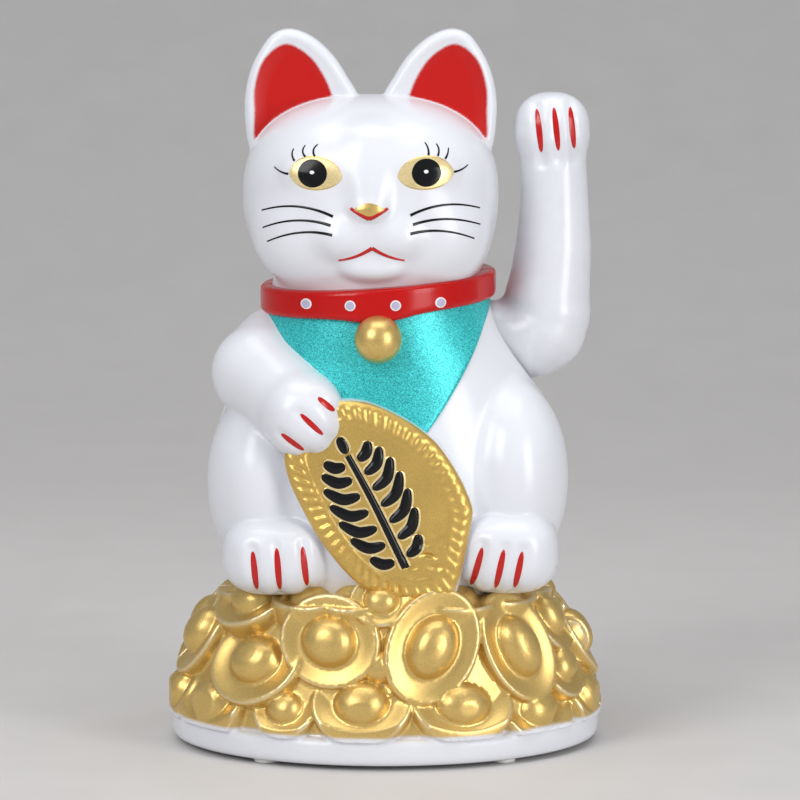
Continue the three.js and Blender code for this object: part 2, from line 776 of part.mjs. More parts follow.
function board() {
  const { x, y, z, width, depth, thickness } = BOARD;
  const top = z + thickness;
  const plate = solid(
    box(x - width / 2, x + width / 2, y - depth / 2, y + depth / 2, z, top),
  ).subtract(join(BOARD_SCREWS.map(([sx, sy]) => disc(1.2, 0, 20).translate(sx, sy, 0))));
  add("circuit_board", plate, FINISH.board);
  BOARD_SCREWS.forEach(([sx, sy], i) => {
    const profile = [[0, 4.4], [0.9, 5], [0.9, top + 0.2], [2, top + GAP], [2, top + 1.2], [0, top + 1.5]];
    const screw = turned(profile, 10);
    add(`board_screw_${i + 1}`, screw.translate(sx, sy, 0), FINISH.steel);
  });
  const up = top + GAP;
  add(
    "driver_chip",
    turned([[0, up], [3.4, up], [3, up + 0.9], [1.6, up + 1.4], [0, up + 1.5]]).translate(x - 1, y + 1, 0),
    FINISH.blackPlastic,
  );
  const can = [[0, up], [2.3, up], [2.5, up + 0.5], [2.5, up + 6], [2.2, up + 6.4], [0, up + 6.4]];
  add("timing_capacitor", turned(can).translate(x + 4.4, y - 5, 0), FINISH.cellJacket);
  add("drive_transistor", box(x - 6.2, x - 2.6, y + 5, y + 7.4, up, up + 4.4), FINISH.blackPlastic);
}

function powerSwitch() {
  const { x, y, slotLength, slotWidth } = SWITCH;
  const bottom = COVER_TOP + GAP;
  const body = solid(box(x - 4.6, x + 4.6, y - 2.6, y + 2.6, bottom, bottom + 5)).subtract(
    solid(box(x - slotLength / 2, x + slotLength / 2, y - 1.6, y + 1.6, 0, bottom + 2.6)),
  );
  add("switch_body", body, FINISH.steel);
  const left = x - slotLength / 2 + GAP;
  const knob = join([
    box(left + 0.2, left + 2, y - slotWidth / 2 + GAP, y + slotWidth / 2 - GAP, 1.5, bottom + 1),
    box(left, left + 2.2, y - 1.3, y + 1.3, bottom + 0.3, bottom + 2.2),
  ]);
  add("switch_knob", knob, FINISH.blackPlastic);
}

// Each wire is laid along the floor of the base from one soldered end to the other.
const TERMINAL_WIRE = { y: BOX.y - 0.5, z: 22.4 };
const WIRES = {
  battery_wire_red: {
    material: FINISH.redWire,
    radius: 0.6,
    route: [
      [CELL_X[0], TERMINAL_WIRE.y, TERMINAL_WIRE.z],
      [CELL_X[0], 31.5, 20],
      [-24, 34, 10],
      [-8, 34, 5.4],
      [3, 25, 4.6],
      [22, 20, 4.6],
      [34, 14, 7],
      [38, 10.5, 12.5],
      [38.5, 7.5, 12],
      [38.5, 7.2, 10.2],
    ],
  },
  battery_wire_black: {
    material: FINISH.blackWire,
    radius: 0.6,
    route: [
      [CELL_X[1], TERMINAL_WIRE.y, TERMINAL_WIRE.z],
      [-12, 32, 19],
      [-4, 37, 8],
      [8, 38, 6],
      [16, 35, 11],
      [19.4, 31.5, 11.5],
      [19.5, 31, 9.2],
    ],
  },
  switch_wire_black: {
    material: FINISH.blackWire,
    radius: 0.6,
    route: [
      [24.5, 31, 9.2],
      [24.7, 30.6, 11.5],
      [29, 28, 11.5],
      [36, 22, 6],
      [43, 15.5, 7],
      [44.6, 11, 12],
      [44.5, 6, 13.2],
      [44.4, 1.8, 12],
      [44.4, 1.4, 10.2],
    ],
  },
  coil_wire_start: {
    material: FINISH.copper,
    radius: 0.35,
    route: [[26.9, 3.5, 8], [28.5, 2.5, 9.5], [31, 0, 12.5], [32.4, -1.2, 11.8], [32.5, -1.3, 10.1]],
  },
  coil_wire_finish: {
    material: FINISH.copper,
    radius: 0.35,
    route: [[26.9, 1.5, 16], [29, -1, 15.5], [31.6, -3, 13.5], [32.4, -3.2, 11.8], [32.4, -3.2, 10.1]],
  },
};

function wires() {
  for (const [name, { material, radius, route }] of Object.entries(WIRES)) {
    const curve = new THREE.CatmullRomCurve3(route.map((point) => new THREE.Vector3(...point)));
    add(name, tube(curve, radius, 3 * route.length, 6), material);
  }
}

function shellScrews() {
  SHELL_SCREWS.forEach(([x, z], i) => {
    const screw = turned([[0, -15.5], [1.1, -14], [1.1, 2.2], [2.3, 2.3], [2.3, 3.8], [0, 4]], 10);
    add(`shell_screw_${i + 1}`, screw.rotateX(-QUARTER).translate(x, 0, z), FINISH.steel);
  });
}

// ---------------------------------------------------------------- the assembly
const { front, rear } = shells();
add("front_shell", front, FINISH.whitePlastic);
add("rear_shell", rear, FINISH.whitePlastic);
shellScrews();
arm();
bracket();
pendulum();
baseCover();
batteryDoor();
cells();
contacts();
coil();
board();
powerSwitch();
wires();

export default group;
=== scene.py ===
"""The waving lucky cat's looks: moulded shells with sprayed paint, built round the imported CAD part.

Shapes are distance fields in millimetres, in the part's own frame: the cat faces along -Y.
"""

import json
import math

import bpy
import numpy as np
import openvdb
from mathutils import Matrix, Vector
from mathutils.bvhtree import BVHTree


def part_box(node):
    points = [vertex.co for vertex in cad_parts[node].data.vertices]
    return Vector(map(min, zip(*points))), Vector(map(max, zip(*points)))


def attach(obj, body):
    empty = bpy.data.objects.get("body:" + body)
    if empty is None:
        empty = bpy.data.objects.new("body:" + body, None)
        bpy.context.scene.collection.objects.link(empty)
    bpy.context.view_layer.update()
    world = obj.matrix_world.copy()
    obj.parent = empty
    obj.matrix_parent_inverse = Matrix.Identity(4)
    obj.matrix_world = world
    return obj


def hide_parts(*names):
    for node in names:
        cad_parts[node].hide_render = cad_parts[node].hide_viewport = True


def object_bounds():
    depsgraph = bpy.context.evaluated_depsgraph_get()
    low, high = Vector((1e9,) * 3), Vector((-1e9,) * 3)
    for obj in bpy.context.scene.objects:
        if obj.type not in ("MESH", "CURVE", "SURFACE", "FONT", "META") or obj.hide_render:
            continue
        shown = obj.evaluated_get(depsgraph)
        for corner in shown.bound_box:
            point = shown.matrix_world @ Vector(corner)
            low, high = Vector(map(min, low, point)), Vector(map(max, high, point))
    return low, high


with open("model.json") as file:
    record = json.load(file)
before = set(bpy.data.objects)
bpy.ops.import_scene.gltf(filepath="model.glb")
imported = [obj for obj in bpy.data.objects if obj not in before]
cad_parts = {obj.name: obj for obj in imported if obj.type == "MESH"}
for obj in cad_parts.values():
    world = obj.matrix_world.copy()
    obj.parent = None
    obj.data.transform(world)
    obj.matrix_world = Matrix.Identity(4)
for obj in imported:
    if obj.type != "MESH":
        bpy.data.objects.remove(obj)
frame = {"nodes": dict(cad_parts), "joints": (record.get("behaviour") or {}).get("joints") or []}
cad_low, cad_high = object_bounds()

# ---------------------------------------------------------------- dimensions, in millimetres
MM = 0.001
FINE = 0.6
WALL = 2.2
FAR = 12.0  # what a field holds where nothing is near

joint = {j["name"]: j for j in frame["joints"]}
PIVOT_Y, PIVOT_Z = (round(value / MM, 2) for value in joint["arm_swing"]["pos_m"][1:])
PARTING_Y = round(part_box("rear_shell")[0][1] / MM - 0.1, 2)
SEAM = 0.05
ARM_INNER_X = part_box("arm_front_half")[0][0] / MM
HALF_WIDTH = (cad_high[0] - cad_low[0]) / MM / 2
HALF_DEPTH = HALF_WIDTH * 49 / 60
DEPTH_RATIO = HALF_DEPTH / HALF_WIDTH
PAD_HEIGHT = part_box("foot_front_left")[1][2] / MM
PAD_PLACES = {
    name: [(low + high) / 2 / MM for low, high in zip(*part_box(name))]
    for name in ("foot_front_left", "foot_front_right", "foot_rear_left", "foot_rear_right")
}

HEAD = (-3.9, -3.0, 153.8)
HEAD_RADII = (35.4, 33.0, 27.4)
HEAD_POWER = 2.4
NOSE_X = HEAD[0] - 0.2
BELL = (-1.7, -35.8, 116.6)
BELL_RADIUS = 6.5

KOBAN = (-1.7, -38.8, 73.0)
KOBAN_TIP_BACK = 0.5
# Its outline, as x and z seen from the front.
KOBAN_OUTLINE = [
    (-18.0, 99.6), (-11.1, 100.4), (-5.2, 99.9), (0.7, 97.7), (6.0, 94.9), (10.3, 92.0),
    (14.2, 88.6), (18.0, 83.4), (21.3, 77.6), (23.7, 71.6), (23.9, 68.6), (23.0, 63.0),
    (21.8, 56.6), (20.3, 50.2), (18.6, 46.6), (12.0, 45.6), (5.0, 45.4), (-2.0, 46.6),
    (-6.8, 49.8), (-10.8, 53.5), (-14.2, 57.6), (-18.0, 62.8), (-21.4, 68.8), (-24.4, 74.8),
    (-26.5, 80.0), (-27.4, 85.0), (-26.4, 90.4), (-23.4, 95.8),
]


# ---------------------------------------------------------------- distance fields
def soft_min(a, b, blend):
    """The smaller of two distances, with a fillet where they meet."""
    if blend <= 0:
        return np.minimum(a, b)
    h = np.clip(0.5 + 0.5 * (b - a) / blend, 0, 1)
    return b + (a - b) * h - blend * h * (1 - h)


def soft_max(a, b, blend):
    return -soft_min(-a, -b, blend)


class Shape:
    """A distance function and the box it matters in."""

    def __init__(self, distance, low, high):
        self.distance = distance
        self.low = np.array(low, float)
        self.high = np.array(high, float)


class Field:
    """Distances in millimetres, sampled on a box of points. Negative is inside."""

    def __init__(self, low, high, step=FINE):
        self.step = step
        self.low = np.array(low, float)
        counts = np.ceil((np.array(high, float) - self.low) / step).astype(int) + 1
        self.axes = [
            (start + step * np.arange(count)).astype(np.float32)
            for start, count in zip(self.low, counts)
        ]
        self.values = np.full(counts, FAR, np.float32)

    def copy(self):
        twin = Field.__new__(Field)
        twin.step, twin.low, twin.axes = self.step, self.low, self.axes
        twin.values = self.values.copy()
        return twin

    def blank(self):
        """An empty field on the same points."""
        twin = self.copy()
        twin.values[:] = FAR
        return twin

    def window(self, shape, margin):
        """Where in the samples a shape's box lies."""
        return tuple(
            slice(*np.searchsorted(axis, [low - margin, high + margin]))
            for axis, low, high in zip(self.axes, shape.low, shape.high)
        )

    def points(self, window=(slice(None),) * 3):
        x, y, z = (axis[part] for axis, part in zip(self.axes, window))
        return x[:, None, None], y[None, :, None], z[None, None, :]

    def add(self, shape, blend=0.0, cutting=False):
        window = self.window(shape, 3 + blend)
        near = shape.distance(*self.points(window))
        held = self.values[window]
        if cutting:
            self.values[window] = soft_max(held, -near, blend)
        else:
            self.values[window] = soft_min(held, near, blend)
        return self

    def cut(self, shape, blend=0.0):
        return self.add(shape, blend, cutting=True)

    def limit(self, distance):
        """Keeps only what is also inside this distance function."""
        self.values = np.maximum(self.values, distance(*self.points())).astype(np.float32)
        return self

    def sample(self, points):
        """Distance and slope at any points, by trilinear interpolation."""
        grid = (points - self.low) / self.step
        cell = np.clip(np.floor(grid).astype(int), 0, np.array(self.values.shape) - 2)
        held = {corner: self.values[tuple((cell + corner).T)] for corner in np.ndindex(2, 2, 2)}
        x, y, z = (grid - cell).T

        def mix(a, b, share):
            return a + (b - a) * share

        edge = {c: mix(held[(0, *c)], held[(1, *c)], x) for c in np.ndindex(2, 2)}
        rise = {c: held[(1, *c)] - held[(0, *c)] for c in np.ndindex(2, 2)}
        low, high = (mix(edge[0, k], edge[1, k], y) for k in (0, 1))
        slope_x = mix(*(mix(rise[0, k], rise[1, k], y) for k in (0, 1)), z)
        slope_y = mix(edge[1, 0] - edge[0, 0], edge[1, 1] - edge[0, 1], z)
        slope = np.stack([slope_x, slope_y, high - low], axis=1) / self.step
        return mix(low, high, z), slope

    def surface(self):
        """The points and four-sided faces where the distance is zero, in millimetres."""
        grid = openvdb.FloatGrid(FAR)
        grid.copyFromArray(np.ascontiguousarray(self.values))
        points, quads = grid.convertToQuads(0.0)
        points = points.astype(float) * self.step + self.low
        for _ in range(3):
            value, slope = self.sample(points)
            steep = np.maximum((slope**2).sum(axis=1), 0.25)
            move = slope * (value / steep)[:, None]
            points -= np.clip(move, -0.4 * self.step, 0.4 * self.step)
        return points, quads[:, ::-1]


def rounded_corner(first, second, rounding):
    """What is inside two distances, with a round corner where they meet."""
    a, b = np.maximum(first + rounding, 0), np.maximum(second + rounding, 0)
    inner = np.minimum(np.maximum(first, second) + rounding, 0)
    return np.sqrt(a**2 + b**2) + inner - rounding


def ball(centre, radii, power=2.0):
    """An ellipsoid, squared off when power is over 2."""
    radii = np.broadcast_to(np.array(radii, float), 3)

    def distance(x, y, z):
        p = [np.abs(v - c) / r for v, c, r in zip((x, y, z), centre, radii)]
        total = p[0] ** power + p[1] ** power + p[2] ** power
        size = np.maximum(total, 1e-6) ** (1 / power)
        slope = sum((v ** (power - 1) / r) ** 2 for v, r in zip(p, radii))
        slope = np.sqrt(slope) / np.maximum(size, 1e-3) ** (power - 1)
        return (size - 1) / np.maximum(slope, 0.5 / radii.max())

    return Shape(distance, centre - radii, centre + radii)


def limb(start, start_radius, end, end_radius):
    """A tapering capsule from one ball to another."""
    a, b = np.array(start, float), np.array(end, float)
    along = b - a

    def distance(x, y, z):
        px, py, pz = x - a[0], y - a[1], z - a[2]
        t = (px * along[0] + py * along[1] + pz * along[2]) / (along @ along)
        t = np.clip(t, 0, 1)
        gap = (px - t * along[0]) ** 2 + (py - t * along[1]) ** 2 + (pz - t * along[2]) ** 2
        return np.sqrt(gap) - (start_radius + (end_radius - start_radius) * t)

    radius = max(start_radius, end_radius)
    return Shape(distance, np.minimum(a, b) - radius, np.maximum(a, b) + radius)


def smooth_table(heights, table):
    """Columns of a table at any heights, by cubic pieces through its rows."""
    rows = np.array(table, float)
    known, columns = rows[:, 0], rows[:, 1:]
    slopes = np.gradient(columns, known, axis=0)
    index = np.clip(np.searchsorted(known, heights) - 1, 0, len(known) - 2)
    width = known[index + 1] - known[index]
    t = np.clip((heights - known[index]) / width, 0, 1)[:, None]
    width = width[:, None]
    return (
        columns[index] * (2 * t**3 - 3 * t**2 + 1)
        + slopes[index] * width * (t**3 - 2 * t**2 + t)
        + columns[index + 1] * (3 * t**2 - 2 * t**3)
        + slopes[index + 1] * width * (t**3 - t**2)
    )


def oval_stack(table, cap=0.0):
    """Ovals stacked in Z. Each row: height, half width, half depth, middle x, middle y."""
    bottom, top = table[0][0], table[-1][0]

    def distance(x, y, z):
        columns = smooth_table(z.ravel().astype(float), table).astype(np.float32)
        width, depth, mid_x, mid_y = (columns[:, i][None, None, :] for i in range(4))
        rise = np.gradient(columns[:, 0], z.ravel())[None, None, :]
        px, py = (x - mid_x) / width, (y - mid_y) / depth
        size = np.maximum(np.sqrt(px**2 + py**2), 1e-3)
        slope = np.sqrt((px / width) ** 2 + (py / depth) ** 2) / size
        side = (size - 1) / np.maximum(slope, 1e-3) / np.sqrt(1 + rise**2)
        return soft_max(side, np.maximum(bottom - z, z - top), cap)

    _, widths, depths, mid_x, mid_y = zip(*table)
    low = (min(mid_x) - max(widths), min(mid_y) - max(depths), bottom)
    high = (max(mid_x) + max(widths), max(mid_y) + max(depths), top)
    return Shape(distance, low, high)


def cylinder(axis, centre, radius, start, end):
    """A cylinder along X, Y or Z. centre gives the two other coordinates, in order."""
    index = "xyz".index(axis)
    others = [i for i in range(3) if i != index]

    def distance(*point):
        a, b = (point[i] - c for i, c in zip(others, centre))
        side = np.sqrt(a**2 + b**2) - radius
        ends = np.maximum(start - point[index], point[index] - end)
        return soft_max(side, ends, 0.3)

    low, high = np.zeros(3), np.zeros(3)
    low[index], high[index] = start, end
    for i, c in zip(others, centre):
        low[i], high[i] = c - radius, c + radius
    return Shape(distance, low, high)


def brick(low, high, rounding=0.4):
    """A box with rounded edges."""
    middle = (np.array(low, float) + np.array(high, float)) / 2
    half = (np.array(high, float) - np.array(low, float)) / 2

    def distance(x, y, z):
        gaps = [np.abs(v - m) - h + rounding for v, m, h in zip((x, y, z), middle, half)]
        outside = np.sqrt(sum(np.maximum(g, 0) ** 2 for g in gaps))
        inside = np.minimum(np.maximum(np.maximum(gaps[0], gaps[1]), gaps[2]), 0)
        return outside + inside - rounding

    return Shape(distance, low, high)


def outline_distance(outline, u, v):
    """Signed distance to a closed outline in a plane, negative inside."""
    nearest = np.full(np.broadcast(u, v).shape, 1e9, np.float32)
    inside = np.zeros(nearest.shape, bool)
    for (u0, v0), (u1, v1) in zip(outline, np.roll(outline, -1, axis=0)):
        du, dv = u1 - u0, v1 - v0
        t = np.clip(((u - u0) * du + (v - v0) * dv) / max(du * du + dv * dv, 1e-9), 0, 1)
        nearest = np.minimum(nearest, (u - u0 - t * du) ** 2 + (v - v0 - t * dv) ** 2)
        if v0 != v1:
            crossing = u0 + (v - v0) / dv * du
            inside ^= ((v0 > v) != (v1 > v)) & (u < crossing)
    return np.sqrt(nearest) * np.where(inside, -1, 1)


def smooth_line(points, per=8, closed=False):
    """A smooth curve through points, with this many steps between each two."""
    p = np.array(points, float)
    count = len(p)
    spans = count if closed else count - 1
    t = (np.arange(per) / per)[:, None]
    line = []
    for i in range(spans):
        if closed:
            a, b, c, d = (p[(i + k) % count] for k in (-1, 0, 1, 2))
        else:
            a, b, c, d = (p[min(max(i + k, 0), count - 1)] for k in (-1, 0, 1, 2))
        bend, twist = 2 * a - 5 * b + 4 * c - d, 3 * b - a - 3 * c + d
        line.append(0.5 * (2 * b + (c - a) * t + bend * t**2 + twist * t**3))
    if not closed:
        line.append(p[-1:])
    return np.concatenate(line)


class Placed:
    """A frame of its own: u across, v up, w out of the face."""

    def __init__(self, origin, outward, lean=0.0):
        w = np.array(outward, float)
        w /= np.linalg.norm(w)
        u = np.cross([0, 0, 1], w)
        u /= np.linalg.norm(u)
        v = np.cross(w, u)
        c, s = math.cos(math.radians(lean)), math.sin(math.radians(lean))
        self.origin = np.array(origin, float)
        self.u, self.v, self.w = u * c + v * s, v * c - u * s, w

    def local(self, x, y, z):
        p = (x - self.origin[0], y - self.origin[1], z - self.origin[2])
        return tuple(p[0] * a[0] + p[1] * a[1] + p[2] * a[2] for a in (self.u, self.v, self.w))

    def world(self, u, v, w=0.0):
        return self.origin + self.u * u + self.v * v + self.w * w


# ---------------------------------------------------------------- the cat's masses
TORSO = [
    [36, 41, 34, 0, 0],
    [46, 43, 35.2, 0, 0],
    [52, 45.5, 37, 0, 0],
    [62, 48.6, 39, 0, 0.7],
    [76, 49.6, 39.2, 0.6, 1.5],
    [88, 47.5, 37.5, 0.5, 1.5],
    [98, 43.6, 35, 0.2, 0.8],
    [110, 37, 32.2, -0.4, -0.8],
    [119, 32.4, 30.2, -1.4, -2],
    [128, 29.5, 28.4, -2, -2.5],
    [136, 26, 26, -3, -3],
]

HEAP = [
    [PAD_HEIGHT, 57, 46.6, 0, 0],
    [10, 57, 46.6, 0, 0],
    [20, 55, 44.9, 0, 0],
    [30, 51.8, 42.4, 0, 0],
    [38, 47, 39.5, 0, -0.6],
    [43, 42.5, 36.8, 0, -1.4],
    [47.4, 36, 32.4, 0, -2.2],
]

EAR = [
    (3.6, 163), (2.6, 178), (6.6, 186.4), (10.8, 192.6), (16.2, 197.3), (22.0, 199.4),
    (26.8, 198.1), (30.2, 194), (33, 188.5), (34.6, 182), (34.8, 175), (33.4, 166), (28, 158),
    (12, 158),
]
EAR_RED = [
    (9.4, 176), (10.8, 181.5), (13.2, 187), (17.2, 192.2), (23.4, 195.3), (29.2, 191.2),
    (31.8, 184), (32.0, 177), (31.0, 166), (20, 162),
]
EAR_THICKNESS = 9.6
EAR_ROUNDING = 2.6
EAR_CUP = 1.3  # how deep its front is cupped
EAR_EDGE = 2.4  # how far from its outline the cup starts
EAR_SPAN = (3, 36)
EAR_HEIGHTS = (157, 200)


def ear(side):
    """A rounded blade, cupped a little on its front."""
    outline = smooth_line(EAR, 4, closed=True)

    def distance(x, y, z):
        flat = outline_distance(outline, side * (x - HEAD[0]), z + 0 * x)
        cup = EAR_CUP * np.clip(-(flat + EAR_EDGE) / 4, 0, 1) ** 0.7
        depth = y - HEAD[1]
        half = EAR_THICKNESS / 2
        slab = np.maximum(depth - half, -half + cup - depth)
        return rounded_corner(flat, slab, EAR_ROUNDING)

    reach = [side * x + HEAD[0] for x in EAR_SPAN]
    low = (min(reach), HEAD[1] - EAR_THICKNESS / 2, EAR_HEIGHTS[0])
    return Shape(distance, low, (max(reach), HEAD[1] + EAR_THICKNESS / 2, EAR_HEIGHTS[1]))


THIGHS = [((-33.6, -13.5, 75), (15.6, 21.5, 26)), ((35.0, -13.5, 76), (15.8, 21.5, 27))]
FEET = [((-29.4, -24.5, 56.6), (15.2, 17, 11.2)), ((33.4, -24.5, 57.4), (14.2, 17, 11.6))]
JAW = ((-2.4, -4.0, 143), (31.4, 30.2, 20))
SHOULDER = (-29.5, -5.5, 109.8)
ELBOW = (-34.6, -16.0, 105.4)
HELD_WRIST = (-24.0, -30.5, 97.4)
HELD_PAW = (-21.8, -35.8, 95.4)
FEET_GROOVES_FROM = -31
PAW_GROOVES_FROM = -34
TAIL = [((19, 36.5, 57), 7.5), ((30, 31, 87), 6.0)]


def cat_core(field):
    """The big rounded masses, which the wall follows on the inside."""
    field.add(oval_stack(TORSO, 2))
    for centre, radii in THIGHS:
        field.add(ball(centre, radii), 3)
    for centre, radii in FEET:
        field.add(ball(centre, radii, 2.8), 0.9)
    arm = field.blank()
    arm.add(limb(SHOULDER, 13.0, ELBOW, 12.9))
    arm.add(limb(ELBOW, 12.9, HELD_WRIST, 11.2), 1)
    arm.add(ball(HELD_PAW, (10.9, 9.4, 11.0), 2.2), 3)
    field.values = soft_min(field.values, arm.values, 1.2)
    field.add(limb(TAIL[0][0], TAIL[0][1], TAIL[1][0], TAIL[1][1]), 2.5)
    field.add(ball(HEAD, HEAD_RADII, HEAD_POWER), 1)
    field.add(ball(*JAW, HEAD_POWER), 3)
    for side in (-1, 1):
        field.add(ear(side), 0.8)
    return field


# Claw lines: where each starts and ends, as x and z seen from the front.
FOOT_CLAWS = [
    [(-35.8, 59.2), (-34.8, 48.2)], [(-29.3, 60.2), (-28.5, 48.2)],
    [(-22.3, 60.4), (-21.1, 49.2)], [(26.6, 60.2), (23.6, 48.8)], [(32.4, 59.8), (30.2, 48.6)],
    [(37.4, 59.2), (35.4, 48.8)],
]
HELD_CLAWS = [
    [(-17.9, 101.6), (-13.5, 97.8)], [(-22.6, 97.4), (-16.6, 91.6)],
    [(-27.8, 91.8), (-21.8, 87.2)],
]
RAISED_CLAWS = [
    [(42.0, 177.3), (43.3, 165.4)], [(46.7, 177.7), (48.0, 165.9)],
    [(51.2, 177.8), (52.4, 166.4)],
]


def toe_grooves(field, claws, front, depth=0.9, width=1.5):
    """Shallow valleys between the toes, on what lies in front of a given y."""
    x, y, z = field.points()
    flat_x, flat_z = x[:, 0, :], z[0]
    dent = np.zeros(np.broadcast(flat_x, flat_z).shape, np.float32)
    for (x0, z0), (x1, z1) in claws:
        along_x, along_z = x1 - x0, z1 - z0
        t = ((flat_x - x0) * along_x + (flat_z - z0) * along_z) / (along_x**2 + along_z**2)
        t = np.clip(t, -0.05, 1.25)
        gap = (flat_x - x0 - t * along_x) ** 2 + (flat_z - z0 - t * along_z) ** 2
        dent = np.maximum(dent, depth * np.exp(-gap / width**2))
    facing = ramp(-y, -front, 2.5 - front)
    field.values += dent[:, None, :] * facing


def face(field):
    """The small forms of the face: bridge, nose, eye bulges, muzzle, lip."""
    bridge = limb((NOSE_X, -26.6, 168), 6.0, (NOSE_X, -32.1, 153.5), 5.1)
    nose = ball((NOSE_X, -36.2, 151.4), (4.8, 2.4, 2.6))
    field.add(bridge, 5)
    field.add(nose, 1.8)
    for side in (-1, 1):
        hollow = ball((NOSE_X + side * 9.4, -41.4, 157.0), (3.0, 4.8, 6.5))
        muzzle = ball((NOSE_X + side * 6.4, -31.4, 143.8), (8.6, 6.2, 6.4))
        eye = ball((NOSE_X + side * 15.4, -27.6, 161.3), (8.4, 5.4, 5.4))
        cheek = ball((NOSE_X + side * 19, -20.5, 143), (11.5, 10.5, 10.5))
        field.cut(hollow, 5)
        field.add(muzzle, 2.5)
        field.add(eye, 2.5)
        field.add(cheek, 7)
    lip_x = NOSE_X + 0.9
    field.add(ball((lip_x, -31.6, 135.8), (8.8, 4.6, 3.6)), 2)
    for side in (-1, 1):
        mouth_end = (lip_x + side * 9.0, -36.0, 137.4)
        field.cut(limb((lip_x, -39.2, 141.2), 0.9, mouth_end, 0.6), 1.6)
    field.cut(limb((NOSE_X, -39.6, 148.5), 0.8, (NOSE_X, -39.2, 142), 0.8), 1.8)


def heap_core(field):
    return field.add(oval_stack(HEAP, 3))


INGOT = [
    (0, -9), (12.2, -9), (12.9, -0.4), (12.8, 0.8), (12.2, 1.4), (11.0, 1.2), (9.0, 0.7),
    (7.6, 0.5), (7.0, 0.7), (6.7, 1.6), (5.8, 3.2), (4.4, 4.5), (2.6, 5.3), (0, 5.6),
]

# Each ingot: degrees from the front, height, half length, half width, spin, how far out, and how
# far its face is tipped up.
INGOTS = [
    (-17, 34.2, 14.3, 13.0, -14, 1.3, -3), (14.4, 32.8, 16.8, 12.7, 62, 1.5, -3),
    (44, 31.0, 16.6, 11.4, 112, 1.0, 0), (-57, 42.6, 13.0, 11.0, 10, 0.2, 16),
    (-41.5, 27.6, 15.0, 13.2, 15, -0.4, 18), (-78, 31.5, 14.0, 12.0, 70, 0.2, 10),
    (-57, 15.6, 13.2, 12.5, 10, 0.0, 26), (-84, 14.5, 13.0, 12.0, 10, 0.2, 24),
    (-29, 16.0, 9.6, 9.0, -10, -0.2, 26), (-6.4, 18.0, 14.0, 12.0, 4, -1.0, 26),
    (22.5, 17.2, 14.6, 11.5, -4, -1.0, 26), (-1.2, 44.0, 8.8, 7.6, 0, 3.0, 0),
    (-2.0, 28.0, 10.0, 9.0, 0, -0.8, 6), (70, 37.0, 12.0, 9.0, 100, 0.0, 6),
    (66, 24.0, 11.0, 9.5, 40, -0.6, 20), (90, 29.5, 13.5, 11.5, 80, 0.6, 12),
    (78, 14.5, 12.5, 12.0, 10, 0.0, 26), (49, 14.0, 13.0, 11.0, 10, -1.6, 30),
    (-104, 32.0, 13.0, 11.5, 80, 0.4, 8), (-108, 16.0, 13.0, 12.0, 20, 0.2, 24),
    (-128, 29.0, 14.5, 12.5, 50, 1.0, 4), (-148, 41.0, 12.0, 9.5, 100, 0.0, 10),
    (-136, 14.5, 13.5, 12.0, 10, 0.0, 26), (-158, 27.0, 14.5, 12.5, 130, 1.2, 4),
    (-176, 41.0, 12.5, 9.5, 10, 0.0, 10), (-164, 13.4, 13.0, 11.5, 0, 0.0, 28),
    (172, 26.5, 14.5, 12.5, 60, 1.2, 4), (152, 38.5, 13.5, 11.0, 30, 0.4, 8),
    (166, 12.8, 13.5, 11.0, 0, -0.4, 28), (138, 25.5, 14.5, 12.5, 100, 1.2, 4),
    (124, 39.5, 12.0, 9.5, 60, 0.0, 8), (130, 13.4, 13.0, 12.0, 15, 0.0, 26),
    (112, 27.5, 14.5, 12.0, 70, 1.0, 6), (103, 13.8, 12.5, 12.0, 10, 0.0, 26),
    (97, 42.0, 11.5, 9.0, 40, -0.4, 10), (-31, 45.0, 11.5, 9.0, 5, -1.0, 44),
    (-12, 45.6, 11.5, 9.0, 5, -1.4, 46), (30, 44.6, 11.5, 9.0, -8, -1.0, 44),
    (55, 44.6, 11.0, 9.0, 0, -1.2, 40), (-78, 44.8, 11.0, 9.0, 0, -1.2, 34),
    (80, 45.0, 10.5, 8.5, 0, -1.2, 34),
]


def heap_place(around, z, out):
    """A point on the heap and the way it faces."""
    angle = math.radians(around)
    way = np.array([math.sin(angle), -math.cos(angle)])
    rows = smooth_table(np.array([z - 3.0, z, z + 3.0]), HEAP)
    spots = rows[:, 2:] + way * rows[:, :2]
    outward = way / rows[1, :2]
    outward /= np.linalg.norm(outward)
    lean = 0.8 * (spots[0] - spots[2]) @ outward / 6
    outward = np.array([*outward, lean])
    outward /= np.linalg.norm(outward)
    return Placed(np.array([*spots[1], z]) + outward * out, outward)


def ingot(around, z, length, width, spin, out, tip_up):
    """A domed, rimmed ingot lying on the heap."""
    level = heap_place(around, z, out)
    angle = math.radians(tip_up)
    outward = level.w * math.cos(angle) + level.v * math.sin(angle)
    place = Placed(level.origin, outward, spin)
    profile = np.array(INGOT)
    rim = profile[:, 0].max()
    scale = (length + width) / 2 / rim

    def distance(x, y, zz):
        u, v, w = place.local(x, y, zz)
        away = np.sqrt((u / length) ** 2 + (v / width) ** 2) * rim
        return outline_distance(profile, away, w / scale) * (width / rim)

    reach = length + 2
    return Shape(distance, place.origin - reach, place.origin + reach)


RIM_TOP = 8.6
RIM = [(PAD_HEIGHT, HALF_WIDTH - 0.3), (4.5, HALF_WIDTH), (RIM_TOP, HALF_WIDTH - 0.2)]
RIM = [[z, half, half * DEPTH_RATIO, 0, 0] for z, half in RIM]


